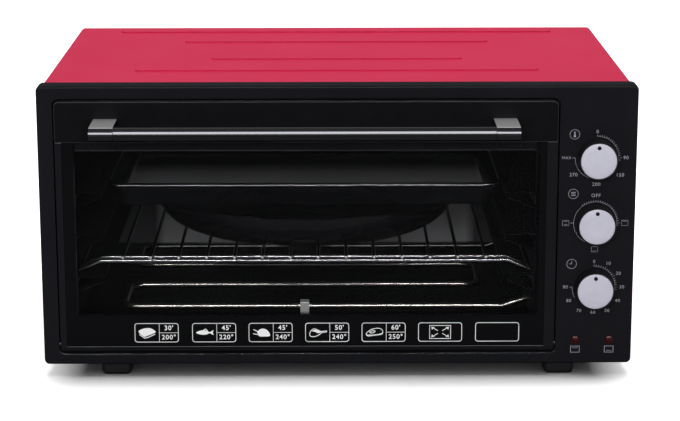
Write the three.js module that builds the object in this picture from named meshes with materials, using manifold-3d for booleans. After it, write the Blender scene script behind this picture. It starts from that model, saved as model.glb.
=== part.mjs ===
// A countertop oven: a sheet metal cabinet, a glass door hinged at its foot, three turning controls,
// and a hot space with two heaters, a wire rack, a baking tray and a round pan.
// Millimetres, +Z up, +X to the right seen from the front, +Y to the rear. The front frame's face is at Y 0.
import * as THREE from 'three';
import { mergeVertices } from 'three/addons/utils/BufferGeometryUtils.js';
import Module from 'manifold-3d';

const wasm = await Module();
wasm.setup();

// Driving dimensions
const cabinetWidth = 590;
const cabinetHeight = 296;
const cabinetDepth = 385;
const footHeight = 12;
const controlPanelWidth = 76.5;

// Fits and sheets shared by the whole oven
const seatGap = 0.3;
const cutOverrun = 2;
const weldDistance = 1e-4;
const coverSheet = 0.8;
const innerSheet = 0.8;
const cornerSteps = 4;
const slotEndSteps = 2;
const triangleCorners = 3;
const roundSides = 24;
const smallRoundSides = 16;
const wireSides = 8;

// Front frame
const frameSheet = 1.2;
const flangeDepth = 22;
const flangeLip = 0.8;
const bottomFlangeDepth = 8;
const frameCornerRadius = 5;
const frameEdgeRadius = 2.5;
const frameEdgeSteps = 3;
const recessMarginLeft = 15.5;
const recessMarginTop = 12.5;
const recessMarginBottom = 11;
const recessDepth = 12;
const recessCornerRadius = 6;
const mouthBorderLeft = 15.5;
const mouthBorderRight = 21.5;
const mouthBorderBottom = 23;
const mouthBorderTop = 11.5;
const mouthCornerRadius = 8;

const frame = {
  left: -cabinetWidth / 2,
  right: cabinetWidth / 2,
  bottom: footHeight,
  top: cabinetHeight,
};
const recess = {
  left: frame.left + recessMarginLeft,
  right: frame.right - controlPanelWidth,
  bottom: frame.bottom + recessMarginBottom,
  top: frame.top - recessMarginTop,
};
const recessFloorRear = recessDepth + frameSheet;
const mouth = {
  left: recess.left + mouthBorderLeft,
  right: recess.right - mouthBorderRight,
  bottom: recess.bottom + mouthBorderBottom,
  top: recess.top - mouthBorderTop,
};

// Cover, bent from one sheet over the top and both sides
const coverRadius = 5;
const beadWidth = 6;
const beadRise = 1.2;
const beadDepthShares = [0.262, 0.444, 0.735, 0.917];
const beadHalfLengthShares = [0.704, 0.45, 0.57, 0.831];
const louvreLength = 46;
const louvreHeight = 3;
const louvrePitch = 9;
const louvreRows = 6;
const louvreDepthShares = [0.5, 0.72];
const louvreTopDrop = 60;
const coverInset = frameSheet + flangeLip + seatGap;
const coverHalf = cabinetWidth / 2 - coverInset;
const coverTop = cabinetHeight - coverInset;
const coverFront = bottomFlangeDepth + seatGap;
const coverInnerHalf = coverHalf - coverSheet;
const coverInnerTop = coverTop - coverSheet;

// Rear panel and base plate
const rearInset = 2;
const rearSheet = 0.8;
const rearSlotLength = 60;
const rearSlotHeight = 4;
const rearSlotPitch = 14;
const rearSlotRows = 5;
const rearSlotAcrossShares = [-0.5, 0, 0.5];
const baseFlange = 12;
const baseSlotLength = 90;
const baseSlotWidth = 4;
const baseSlotPitch = 10;
const baseSlotCount = 4;
const baseSlotDepthShare = 0.5;
const panelRear = cabinetDepth - rearInset;
const panelFront = panelRear - rearSheet;
const baseHalf = coverInnerHalf - seatGap;
const baseTop = footHeight + coverSheet;
const panelBottom = baseTop + seatGap;
const panelTop = coverInnerTop - seatGap;

// Hot space
const mouthLap = 0.5;
const rearSpace = 22;
const ledgeWidth = 30;
const ledgeHeight = 18;
const ledgeNose = 6;
const ledgeHeightShares = [0.2379, 0.4295, 0.6211];
const slopeSheetShare = 1.15;
const hot = {
  left: mouth.left - mouthLap,
  right: mouth.right + mouthLap,
  bottom: mouth.bottom - mouthLap,
  top: mouth.top + mouthLap,
  front: recessFloorRear + seatGap,
  rear: panelFront - rearSpace,
};
const hotCentre = (hot.left + hot.right) / 2;
const ledgeTops = ledgeHeightShares.map((share) => hot.bottom + (hot.top - hot.bottom) * share);
const lowLedgeTop = Math.min(...ledgeTops);
const highLedgeTop = Math.max(...ledgeTops);

// Heaters
const heaterRadius = 3.25;
const heaterLift = 12.5;
const heaterDrop = 14;
const heaterEndStep = 8;
const heaterStepRun = 28;
const heaterBendRadius = 16;
const heaterStepRadius = 10;
const heaterLeftMargin = 47;
const heaterRightMargin = 48;
const heaterFrontMargin = 36.5;
const heaterRearMargin = 64.2;
const heaterReach = 11;
const heaterStudRadius = 1.6;
const heaterStudLength = 6;
const heaterBendSteps = 3;
const clipWidth = 9;
const clipDepth = 11;
const clipCap = 2.5;
const heaterFrontRun = hot.front + heaterFrontMargin;
const heaterRearRun = hot.rear - heaterRearMargin;
const heaterEnd = hot.right + innerSheet + heaterReach;
const lowerHeaterPlane = hot.bottom + heaterLift;
const upperHeaterPlane = hot.top - heaterDrop;
const heaterRunCount = 4;
const heaterRuns = [];
for (let run = 0; run < heaterRunCount; run += 1) {
  heaterRuns.push(heaterFrontRun + ((heaterRearRun - heaterFrontRun) * run) / (heaterRunCount - 1));
}

// Controls
const controlInset = 39.6;
const topControlDrop = 72.5;
const lowControlRise = 79.5;
const controlCount = 3;
const knobRadius = 19.6;
const knobFront = 18;
const knobGap = 1.5;
const knobTaper = 0.8;
const knobRim = 0.8;
const knobRimRound = 0.7;
const knobSkirtWall = 2;
const knobFaceWall = 3;
const knobHubRadius = 6.5;
const capThickness = 1.4;
const capChamfer = 0.6;
const dotRadius = 2;
const dotDepth = 0.4;
const dotRadiusShare = 0.68;
const shaftRadius = 3;
const shaftHoleRadius = 5;
const shaftSeatDepth = 11;
const bushingRadius = 5;
const bushingLength = 5;
const bracketDepth = 18;
const bracketHalf = 32;
const bracketOverhang = 30;
const tabWidth = 5;
const tabThickness = 0.8;
const tabLength = 8;
const thermostatWidth = 38;
const thermostatHeight = 34;
const thermostatDepth = 24;
const thermostatTabCount = 2;
const switchWidth = 34;
const switchHeight = 34;
const switchDepth = 38;
const switchTabCount = 4;
const timerWidth = 44;
const timerHeight = 44;
const timerDepth = 34;
const timerTabCount = 2;
const bellRadius = 18;
const bellDepth = 9;
const bellSheet = 1;
const bellStudRadius = 3;
const bellDomeShare = 0.72;
const controlAcross = frame.right - controlInset;
const topControlHeight = frame.top - topControlDrop;
const lowControlHeight = frame.bottom + lowControlRise;
const controlHeights = [];
for (let row = 0; row < controlCount; row += 1) {
  controlHeights.push(topControlHeight - ((topControlHeight - lowControlHeight) * row) / (controlCount - 1));
}
const bracketRear = bracketDepth + frameSheet;
const bodyFront = bracketRear + seatGap;

// Thermostat sensing tube
const capillaryRadius = 1.2;
const capillaryRise = 10;
const capillarySetback = 12;
const capillaryBendRadius = 5;
const capillaryRun = 120;
const bulbRadius = 2.4;
const bulbLength = 80;
const bulbWallGap = 9;
const capillaryHeight = topControlHeight + capillaryRise;
const capillaryDepth = bodyFront + capillarySetback;

// Pilot lamps
const lampSpread = 17;
const lampHeightAboveFrame = 25;
const lensRadius = 3.9;
const lensFlangeRadius = 4.6;
const lensProud = 1.6;
const lensFlange = 0.8;
const lampBodyLength = 20;
const lampHeight = frame.bottom + lampHeightAboveFrame;

// Heat shield, terminal block and cord gland
const shieldStandoff = 22;
const shieldFoot = 12;
const shieldTopGap = 8;
const shieldFrontGap = 2;
const blockWidth = 34;
const blockLength = 18;
const blockHeight = 14;
const blockSetback = 40;
const blockScrewRadius = 2;
const blockScrewDepth = 3;
const blockWayCount = 3;
const glandNeckRadius = 7;
const glandFlangeRadius = 12;
const glandFlange = 3.5;
const glandBoreRadius = 4;
const glandRise = 30;
const shieldLeft = hot.right + innerSheet + shieldStandoff;

// Feet
const footWidth = 30;
const footDepth = 30;
const footCornerRadius = 5;
const footSideInset = 57;
const footFrontInset = 3;
const footRearInset = 12;

// Door
const doorGap = 2;
const doorProud = 4;
const doorFootClearance = 1;
const doorCornerRadius = 5;
const doorFrameSheet = 1.2;
const doorStripLeft = 6.5;
const doorStripRight = 10.5;
const doorStripFoot = 7;
const doorRailRise = 4;
const doorLinerSheet = 1;
const doorLinerGap = 0.5;
const doorLinerInset = 2;
const outerGlassThickness = 4;
const innerGlassThickness = 3;
const glassLedge = 9;
const trimHeight = 41;
const trimProud = 0.8;
const trimEdgeRadius = 1.5;
const trimEdgeSteps = 2;
const linerWindowSide = 17;
const linerWindowLow = 13;
const linerWindowHigh = 17;
const innerGlassBearing = 4;
const door = {
  left: recess.left + doorGap,
  right: recess.right - doorGap,
  bottom: recess.bottom + doorGap,
  top: recess.top - doorGap,
  front: -doorProud,
};
const doorFootRadius = (recessDepth + doorProud - doorFootClearance) / 2;
const hingeDepth = door.front + doorFootRadius;
const hingeHeight = door.bottom + doorFootRadius;
const linerRear = recessDepth - doorLinerGap;
const linerFront = linerRear - doorLinerSheet;
const doorFrameRear = linerFront - seatGap;
const pocketRear = door.front + outerGlassThickness + seatGap;
const ledgeRear = pocketRear + doorFrameSheet;
const trimBottom = door.top - trimHeight;
const linerWindow = {
  left: door.left + linerWindowSide,
  right: door.right - linerWindowSide,
  bottom: hingeHeight + linerWindowLow,
  top: door.top - linerWindowHigh,
};

// Hinge pins, arms and springs
const pinRadius = hingeDepth - frameSheet - seatGap;
const pinReach = 5;
const pinPlateHeight = 14;
const pinPlateThickness = 1.5;
const armRadius = 90;
const armDepth = 10;
const armThickness = 3;
const armInset = 5;
const armLugExtra = 5;
const armEndAngle = 0.5;
const armLugAngle = 4;
const armSteps = 14;
const armSlotSide = 2;
const armSlotEnd = 3;
const armRootWidth = 9;
const armRootHeight = 22;
const armRootSheet = 1.5;
const springSheet = 0.8;
const springHeight = 9;
const springFoot = 5.5;
const springStandoff = 2.3;
const springRise = 8;
const springBend = 6;
const springTongue = 7;
const armOuterRadius = armRadius + armDepth / 2;
const armInnerRadius = armRadius - armDepth / 2;

// Handle
const handleInsetLeft = 39;
const handleInsetRight = 41;
const handleFrontReach = 50;
const handleBarDepth = 15;
const handleBarHeight = 13.5;
const handleTopDrop = 17;
const handleBarWall = 1.6;
const handleRound = 5;
const handleEndWidth = 23;
const handleSpigot = 12;
const handleEndLegHeight = 12;
const screwRadius = 2;
const screwLength = 14;
const screwHeadRadius = 4;
const screwHeadThickness = 2.4;

// Rack, tray and pan
const rackSideClearance = 1.5;
const rackRailRadius = 2.5;
const rackWireRadius = 1.75;
const rackWeld = 0.4;
const rackEndDrop = 9.5;
const rackEndRun = 22;
const rackRailBendRadius = 6;
const rackFrontMargin = 16.5;
const rackRearMargin = 20.2;
const rackSecondRail = 15;
const rackWireCount = 14;
const rackWireMargin = 22;
const rackWireSides = 6;
const rackBendSteps = 2;
const trayBearing = 7;
const traySheet = 1;
const trayWellGap = 2.5;
const trayRim = trayBearing + trayWellGap;
const trayWell = 26;
const trayFlare = 10;
const trayCornerRadius = 30;
const trayFrontMargin = 26.5;
const trayRearMargin = 50.2;
const panDepthGap = 8.35;
const panLedgeGap = 5;
const panWallRun = 42;
const panTopGap = 5.6;
const panSheet = 1.2;
const panRim = 5;
const panWallSteps = 4;
const panRearGap = 8;
const panSides = 32;

// Finishes, as the photograph shows them
const finishes = {
  blackEnamel: { color: 0x17171a, roughness: 0.32, metalness: 0.1 },
  redPaint: { color: 0xd62f4f, roughness: 0.38, metalness: 0.05 },
  greySteel: { color: 0xa7a9ac, roughness: 0.42, metalness: 0.9 },
  chrome: { color: 0xd9dadd, roughness: 0.08, metalness: 1 },
  satin: { color: 0xb9babc, roughness: 0.35, metalness: 0.9 },
  knobSilver: { color: 0xc8c8d2, roughness: 0.4, metalness: 0.6 },
  blackPlastic: { color: 0x141416, roughness: 0.5, metalness: 0 },
  smokedGlass: { color: 0x2a2b2e, roughness: 0.05, metalness: 0 },
  clearGlass: { color: 0x5a5d60, roughness: 0.05, metalness: 0 },
  darkEnamel: { color: 0x1d1d22, roughness: 0.3, metalness: 0 },
  brightWire: { color: 0xcfd0d3, roughness: 0.2, metalness: 1 },
  heaterSteel: { color: 0x8d8a86, roughness: 0.45, metalness: 0.9 },
  redLens: { color: 0x7a1418, roughness: 0.15, metalness: 0 },
  copper: { color: 0xb5713f, roughness: 0.35, metalness: 1 },
  phenolic: { color: 0x3a2a20, roughness: 0.6, metalness: 0 },
  palePlastic: { color: 0xd8d4c8, roughness: 0.55, metalness: 0 },
};

// Solids from outlines. An outline is a list of points in the two axes across the push.
const alongAxis = {
  x: new THREE.Matrix4().makeBasis(
    new THREE.Vector3(0, 1, 0), new THREE.Vector3(0, 0, 1), new THREE.Vector3(1, 0, 0)),
  y: new THREE.Matrix4().makeBasis(
    new THREE.Vector3(1, 0, 0), new THREE.Vector3(0, 0, 1), new THREE.Vector3(0, -1, 0)),
  z: new THREE.Matrix4(),
};

function solidOf(geometry) {
  const bare = geometry.index ? geometry.toNonIndexed() : geometry.clone();
  bare.deleteAttribute('normal');
  bare.deleteAttribute('uv');
  const merged = mergeVertices(bare, weldDistance);
  const corners = merged.index.array;
  const triangles = [];
  for (let at = 0; at < corners.length; at += triangleCorners) {
    const [a, b, c] = corners.slice(at, at + triangleCorners);
    if (a !== b && b !== c && c !== a) triangles.push(a, b, c);
  }
  return new wasm.Manifold(new wasm.Mesh({
    numProp: 3,
    vertProperties: new Float32Array(merged.attributes.position.array),
    triVerts: new Uint32Array(triangles),
  }));
}

function geometryOf(solid) {
  const mesh = solid.getMesh();
  const geometry = new THREE.BufferGeometry();
  geometry.setAttribute('position', new THREE.BufferAttribute(new Float32Array(mesh.vertProperties),
    triangleCorners));
  geometry.setIndex(new THREE.BufferAttribute(new Uint32Array(mesh.triVerts), 1));
  geometry.computeVertexNormals();
  return geometry;
}

function joined(solids) {
  return solids.reduce((whole, next) => whole.add(next));
}

function cut(body, tools) {
  return tools.reduce((rest, tool) => rest.subtract(tool), body);
}

function outlineOf(points) {
  return new THREE.Shape(points.map(([across, up]) => new THREE.Vector2(across, up)));
}

function push(points, axis, from, to) {
  const geometry = new THREE.ExtrudeGeometry(outlineOf(points), { depth: to - from, bevelEnabled: false });
  geometry.applyMatrix4(alongAxis[axis]);
  const shift = { x: [from, 0, 0], y: [0, to, 0], z: [0, 0, from] }[axis];
  return solidOf(geometry.translate(...shift));
}

function block(left, right, front, rear, bottom, top) {
  const geometry = new THREE.BoxGeometry(right - left, rear - front, top - bottom);
  return solidOf(geometry.translate((left + right) / 2, (front + rear) / 2, (bottom + top) / 2));
}

// A plate whose front edge is rounded all round, pushed from front to rear
function roundFronted(points, front, rear, radius, steps) {
  const geometry = new THREE.ExtrudeGeometry(outlineOf(points), {
    depth: rear - front,
    bevelThickness: radius,
    bevelSize: radius,
    bevelOffset: -radius,
    bevelSegments: steps,
  });
  geometry.applyMatrix4(alongAxis.y);
  geometry.translate(0, rear + radius, 0);
  geometry.computeBoundingBox();
  const { min, max } = geometry.boundingBox;
  const behind = block(min.x - radius, max.x + radius, rear, max.y + radius, min.z - radius, max.z + radius);
  return solidOf(geometry).subtract(behind);
}

function arcPoints(across, up, radius, startAngle, endAngle, steps) {
  const points = [];
  for (let step = 0; step <= steps; step += 1) {
    const angle = startAngle + ((endAngle - startAngle) * step) / steps;
    points.push([across + radius * Math.cos(angle), up + radius * Math.sin(angle)]);
  }
  return points;
}

function roundedOutline(left, right, low, high, radius, steps = cornerSteps) {
  const quarter = Math.PI / 2;
  return [
    ...arcPoints(right - radius, high - radius, radius, 0, quarter, steps),
    ...arcPoints(left + radius, high - radius, radius, quarter, 2 * quarter, steps),
    ...arcPoints(left + radius, low + radius, radius, 2 * quarter, 3 * quarter, steps),
    ...arcPoints(right - radius, low + radius, radius, 3 * quarter, 4 * quarter, steps),
  ];
}

function slotOutline(centreAcross, centreUp, length, height) {
  const half = length / 2;
  const halfHeight = height / 2;
  const quarter = Math.PI / 2;
  return [
    ...arcPoints(centreAcross + half - halfHeight, centreUp, halfHeight, -quarter, quarter, slotEndSteps),
    ...arcPoints(centreAcross - half + halfHeight, centreUp, halfHeight, quarter, 3 * quarter, slotEndSteps),
  ];
}

function rod(axis, [x, y, z], from, to, radius, sides = smallRoundSides) {
  const circle = { x: [y, z], y: [x, z], z: [x, y] }[axis];
  const points = arcPoints(...circle, radius, 0, 2 * Math.PI, sides);
  points.pop();
  return push(points, axis, from, to);
}

// A turned solid about the Y axis. Its profile holds pairs of radius and depth.
function turned(profile, sides = roundSides) {
  const area = profile.reduce((sum, [radius, depth], at) => {
    const [nextRadius, nextDepth] = profile[(at + 1) % profile.length];
    return sum + radius * nextDepth - nextRadius * depth;
  }, 0);
  const ordered = area > 0 ? [...profile] : [...profile].reverse();
  if (ordered.every(([radius]) => radius > 0)) ordered.push(ordered[0]);
  const points = ordered.map(([radius, depth]) => new THREE.Vector2(radius, depth));
  return solidOf(new THREE.LatheGeometry(points, sides));
}

// A route of straight runs with round bends, whose stations stand at the ends and along each bend
class BentRoute extends THREE.Curve {
  constructor(corners, radii, bendSteps) {
    super();
    this.places = [corners[0]];
    this.directions = [corners[1].clone().sub(corners[0]).normalize()];
    for (let at = 1; at < corners.length - 1; at += 1) {
      this.addBend(corners[at - 1], corners[at], corners[at + 1], radii[at - 1], bendSteps);
    }
    this.places.push(corners[corners.length - 1]);
    this.directions.push(corners[corners.length - 1].clone().sub(corners[corners.length - 2]).normalize());
  }

  addBend(before, corner, after, radius, bendSteps) {
    const inward = corner.clone().sub(before).normalize();
    const onward = after.clone().sub(corner).normalize();
    const turn = inward.angleTo(onward);
    const entry = corner.clone().addScaledVector(inward, -radius * Math.tan(turn / 2));
    const towardCentre = onward.clone().sub(inward).normalize();
    const centre = corner.clone().addScaledVector(towardCentre, radius / Math.cos(turn / 2));
    const outward = entry.clone().sub(centre).normalize();
    for (let step = 0; step <= bendSteps; step += 1) {
      const angle = (turn * step) / bendSteps;
      const spoke = outward.clone().multiplyScalar(Math.cos(angle)).addScaledVector(inward, Math.sin(angle));
      this.places.push(centre.clone().addScaledVector(spoke, radius));
      const along = inward.clone().multiplyScalar(Math.cos(angle)).addScaledVector(outward, -Math.sin(angle));
      this.directions.push(along);
    }
  }

  getPointAt(share) {
    return this.places[Math.round(share * (this.places.length - 1))].clone();
  }

  getTangentAt(share) {
    return this.directions[Math.round(share * (this.places.length - 1))].clone();
  }
}

function bentTube(corners, radii, bendSteps, radius, sides = wireSides) {
  const vectors = corners.map((corner) => new THREE.Vector3(...corner));
  const route = new BentRoute(vectors, radii, bendSteps);
  const ring = arcPoints(0, 0, radius, 0, 2 * Math.PI, sides);
  ring.pop();
  return solidOf(new THREE.ExtrudeGeometry(outlineOf(ring), {
    steps: route.places.length - 1,
    extrudePath: route,
    bevelEnabled: false,
  }));
}

function addPiece(parent, name, solid, finish, place = [0, 0, 0]) {
  const mesh = new THREE.Mesh(geometryOf(solid), new THREE.MeshStandardMaterial(finishes[finish]));
  mesh.name = name;
  mesh.position.set(...place);
  parent.add(mesh);
}

// Front frame: one pressed sheet with a flange behind its edge, a recess for the door, and the oven's mouth
function frontFrame() {
  const face = roundedOutline(frame.left, frame.right, frame.bottom, frame.top, frameCornerRadius);
  const shell = roundFronted(face, 0, flangeDepth, frameEdgeRadius, frameEdgeSteps);
  const inner = roundedOutline(frame.left + frameSheet, frame.right - frameSheet,
    frame.bottom + frameSheet, frame.top - frameSheet, frameCornerRadius - frameSheet);
  const lipInset = frameSheet + flangeLip;
  const hollow = push(inner, 'y', frameSheet, flangeDepth - frameSheet);
  const rearOpening = block(frame.left + lipInset, frame.right - lipInset, bottomFlangeDepth,
    flangeDepth + cutOverrun, frame.bottom - cutOverrun, frame.top - lipInset);
  const tub = block(recess.left - frameSheet, recess.right + frameSheet, frameSheet / 2, recessFloorRear,
    recess.bottom - frameSheet, recess.top + frameSheet);
  const pocketOutline = roundedOutline(recess.left, recess.right, recess.bottom, recess.top,
    recessCornerRadius);
  const pocket = push(pocketOutline, 'y', -cutOverrun, recessDepth);
  const mouthHole = push(roundedOutline(mouth.left, mouth.right, mouth.bottom, mouth.top, mouthCornerRadius),
    'y', recessDepth - cutOverrun, recessFloorRear + cutOverrun);
  const shaftHoles = controlHeights.map((height) => rod('y', [controlAcross, 0, height],
    -cutOverrun, frameSheet + cutOverrun, shaftHoleRadius, roundSides));
  const lampHoles = lampPlaces.map((across) => rod('y', [across, 0, lampHeight],
    -cutOverrun, frameSheet + cutOverrun, lensRadius + seatGap));
  const pinHoles = [recess.left - frameSheet, recess.right].map((wall) => rod('x',
    [0, hingeDepth, hingeHeight], wall - cutOverrun / 2, wall + frameSheet + cutOverrun / 2,
    pinRadius + seatGap));
  const slots = armCentres.map((across) => armSlot(across, armSlotSide, recessDepth, recessFloorRear));
  return cut(cut(shell, [hollow, rearOpening]).add(tub),
    [pocket, mouthHole, ...shaftHoles, ...lampHoles, ...pinHoles, ...slots]);
}

// Cover: the red sheet, with four raised beads on top and louvres in both sides
function cover() {
  const below = frame.bottom - coverRadius;
  const outer = push(roundedOutline(-coverHalf, coverHalf, below, coverTop, coverRadius),
    'y', coverFront, cabinetDepth);
  const inner = push(roundedOutline(-coverInnerHalf, coverInnerHalf, below + coverSheet, coverInnerTop,
    coverRadius - coverSheet), 'y', coverFront - cutOverrun, cabinetDepth + cutOverrun);
  const openBottom = block(-coverHalf - cutOverrun, coverHalf + cutOverrun, coverFront - cutOverrun,
    cabinetDepth + cutOverrun, below - cutOverrun, frame.bottom);
  const beads = [];
  const tunnels = [];
  beadDepthShares.forEach((depthShare, row) => {
    const depth = cabinetDepth * depthShare;
    const length = 2 * coverHalf * beadHalfLengthShares[row];
    beads.push(push(slotOutline(0, depth, length, beadWidth), 'z', coverInnerTop, coverTop + beadRise));
    tunnels.push(push(slotOutline(0, depth, length - 2 * coverSheet, beadWidth - 2 * coverSheet),
      'z', coverInnerTop - cutOverrun, coverTop + beadRise - coverSheet));
  });
  const louvres = [];
  for (const depthShare of louvreDepthShares) {
    for (let row = 0; row < louvreRows; row += 1) {
      const height = coverTop - louvreTopDrop - row * louvrePitch;
      louvres.push(push(slotOutline(cabinetDepth * depthShare, height, louvreLength, louvreHeight),
        'x', -coverHalf - cutOverrun, coverHalf + cutOverrun));
    }
  }
  return cut(joined([cut(outer, [inner, openBottom]), ...beads]), [...tunnels, ...louvres]);
}

// Base plate: a tray of sheet between the cover's sides, slotted under the controls
function basePlate() {
  const edgeTop = footHeight + baseFlange;
  const inside = baseHalf - coverSheet;
  const section = [
    [-baseHalf, footHeight], [baseHalf, footHeight], [baseHalf, edgeTop], [inside, edgeTop],
    [inside, baseTop], [-inside, baseTop], [-inside, edgeTop], [-baseHalf, edgeTop],
  ];
  const slots = [];
  for (let at = 0; at < baseSlotCount; at += 1) {
    const across = controlAcross + (at - (baseSlotCount - 1) / 2) * baseSlotPitch;
    const depth = cabinetDepth * baseSlotDepthShare;
    const outline = roundedOutline(across - baseSlotWidth / 2, across + baseSlotWidth / 2,
      depth - baseSlotLength / 2, depth + baseSlotLength / 2, baseSlotWidth / 2, slotEndSteps);
    slots.push(push(outline, 'z', footHeight - cutOverrun, baseTop + cutOverrun));
  }
  return cut(push(section, 'y', coverFront, panelFront - seatGap), slots);
}

// Rear panel: a flat sheet inside the cover, slotted, with a hole for the cord gland
function rearPanel() {
  const plate = push(roundedOutline(-baseHalf, baseHalf, panelBottom, panelTop, coverRadius),
    'y', panelFront, panelRear);
  const slots = [];
  for (const share of rearSlotAcrossShares) {
    for (let row = 0; row < rearSlotRows; row += 1) {
      const height = panelTop - louvreTopDrop - row * rearSlotPitch;
      slots.push(push(slotOutline(baseHalf * share, height, rearSlotLength, rearSlotHeight),
        'y', panelFront - cutOverrun, panelRear + cutOverrun));
    }
  }
  const glandHole = rod('y', [controlAcross, 0, baseTop + glandRise], panelFront - cutOverrun,
    panelRear + cutOverrun, glandNeckRadius + seatGap, roundSides);
  return cut(plate, [...slots, glandHole]);
}

// Hot space side wall: one sheet with three pressed ledges, drawn for the left and mirrored for the right
function sideWall(side) {
  const wall = side < 0 ? hot.left : hot.right;
  const inward = (distance) => wall - side * distance;
  const slopeSheet = innerSheet * slopeSheetShare;
  const inside = [];
  const outside = [];
  for (const top of ledgeTops) {
    inside.push([0, top - ledgeHeight], [ledgeWidth, top - ledgeNose], [ledgeWidth, top], [0, top]);
    outside.push([-innerSheet, top - ledgeHeight + slopeSheet],
      [ledgeWidth - innerSheet, top - ledgeNose + slopeSheet],
      [ledgeWidth - innerSheet, top - innerSheet], [-innerSheet, top - innerSheet]);
  }
  const section = [
    [0, hot.bottom + seatGap], ...inside, [0, hot.top - seatGap],
    [-innerSheet, hot.top - seatGap], ...outside.reverse(), [-innerSheet, hot.bottom + seatGap],
  ].map(([distance, height]) => [inward(distance), height]);
  return push(section, 'y', hot.front, hot.rear);
}

function heaterHoles() {
  const radius = heaterRadius + seatGap;
  const ends = [heaterRuns[0], heaterRuns[heaterRuns.length - 1]];
  const heights = [lowerHeaterPlane + heaterEndStep, upperHeaterPlane - heaterEndStep];
  return ends.flatMap((depth) => heights.map((height) => rod('x', [0, depth, height],
    hot.right - cutOverrun, hot.right + innerSheet + cutOverrun, radius)));
}

function capillaryHole(wall, sheet) {
  return rod('x', [0, capillaryDepth, capillaryHeight], wall - cutOverrun, wall + sheet + cutOverrun,
    capillaryRadius + seatGap, wireSides);
}

function levelSheet(bottom) {
  return block(hot.left - innerSheet, hot.right + innerSheet, hot.front, hot.rear,
    bottom, bottom + innerSheet);
}

function backSheet() {
  const front = hot.rear + seatGap;
  return block(hot.left - innerSheet, hot.right + innerSheet, front, front + innerSheet,
    hot.bottom - innerSheet, hot.top + innerSheet);
}

// Heater: a steel tube bent into four runs across the hot space, both ends stepped through the right wall
function heater(plane, step) {
  const left = hot.left + heaterLeftMargin;
  const right = hot.right - heaterRightMargin;
  const outerRight = hot.right - heaterStepRun;
  const wall = hot.right - heaterStepRadius / 2;
  const [first, second, third, fourth] = heaterRuns;
  const endHeight = plane + step;
  const corners = [
    [heaterEnd, first, endHeight], [wall, first, endHeight], [outerRight, first, plane],
    [left, first, plane], [left, second, plane], [right, second, plane], [right, third, plane],
    [left, third, plane], [left, fourth, plane], [outerRight, fourth, plane],
    [wall, fourth, endHeight], [heaterEnd, fourth, endHeight],
  ];
  const radii = corners.slice(1, -1).map((corner, at, all) => {
    const stepBend = at < 2 || at >= all.length - 2;
    return stepBend ? heaterStepRadius : heaterBendRadius;
  });
  const tube = bentTube(corners, radii, heaterBendSteps, heaterRadius);
  const studs = [first, fourth].map((depth) => rod('x', [0, depth, endHeight],
    heaterEnd - cutOverrun, heaterEnd + heaterStudLength, heaterStudRadius, wireSides));
  return joined([tube, ...studs]);
}

// Heater clip: a folded strap that holds the front run to the floor or to the ceiling
function heaterClip(sheetFace, plane) {
  const up = Math.sign(plane - sheetFace);
  const seat = sheetFace + up * seatGap;
  const cap = plane + up * (heaterRadius + clipCap);
  const strap = block(hotCentre - clipWidth / 2, hotCentre + clipWidth / 2, heaterFrontRun - clipDepth / 2,
    heaterFrontRun + clipDepth / 2, Math.min(seat, cap), Math.max(seat, cap));
  const bore = rod('x', [0, heaterFrontRun, plane], hotCentre - clipWidth, hotCentre + clipWidth,
    heaterRadius + seatGap);
  return cut(strap, [bore]);
}

// Control bracket: a channel behind the panel whose legs reach the frame's face
function controlBracket() {
  const left = controlAcross - bracketHalf;
  const right = controlAcross + bracketHalf;
  const front = frameSheet + seatGap;
  const section = [
    [left, front], [left + frameSheet, front], [left + frameSheet, bracketDepth],
    [right - frameSheet, bracketDepth], [right - frameSheet, front], [right, front],
    [right, bracketRear], [left, bracketRear],
  ];
  const bottom = lowControlHeight - bracketOverhang;
  const top = topControlHeight + bracketOverhang;
  const holes = controlHeights.map((height) => rod('y', [controlAcross, 0, height],
    bracketDepth - cutOverrun, bracketRear + cutOverrun, bushingRadius + seatGap));
  return cut(push(section, 'z', bottom, top), holes);
}

// Control body: a box behind the bracket, with a bushing through it, a bore for the shaft and tabs behind
function controlBody({ width, height, depth, tabCount }) {
  const rear = bodyFront + depth;
  const box = block(-width / 2, width / 2, bodyFront, rear, -height / 2, height / 2);
  const bushing = rod('y', [0, 0, 0], bracketDepth - bushingLength, bodyFront + bushingLength, bushingRadius);
  const bore = rod('y', [0, 0, 0], bracketDepth - bushingLength - cutOverrun,
    bodyFront + shaftSeatDepth + seatGap, shaftRadius + seatGap);
  const pitch = height / tabCount;
  const blades = [];
  for (let at = 0; at < tabCount; at += 1) {
    const up = (at - (tabCount - 1) / 2) * pitch;
    blades.push(block(width / 2 - tabWidth - tabThickness, width / 2 - tabThickness, rear - tabThickness,
      rear + tabLength, up - tabThickness / 2, up + tabThickness / 2));
  }
  return cut(joined([box, bushing, ...blades]), [bore]);
}

// Timer bell: a shallow dome on a stud behind the timer
function timerBell() {
  const front = bodyFront + timerDepth + seatGap;
  const crown = front + bellDepth;
  const shoulder = bellRadius * bellDomeShare;
  return turned([
    [0, front], [bellStudRadius, front], [bellStudRadius, crown - bellSheet],
    [shoulder - bellSheet, crown - bellSheet], [bellRadius - bellSheet, front + bellSheet],
    [bellRadius, front + bellSheet], [shoulder, crown], [0, crown],
  ]);
}

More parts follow.
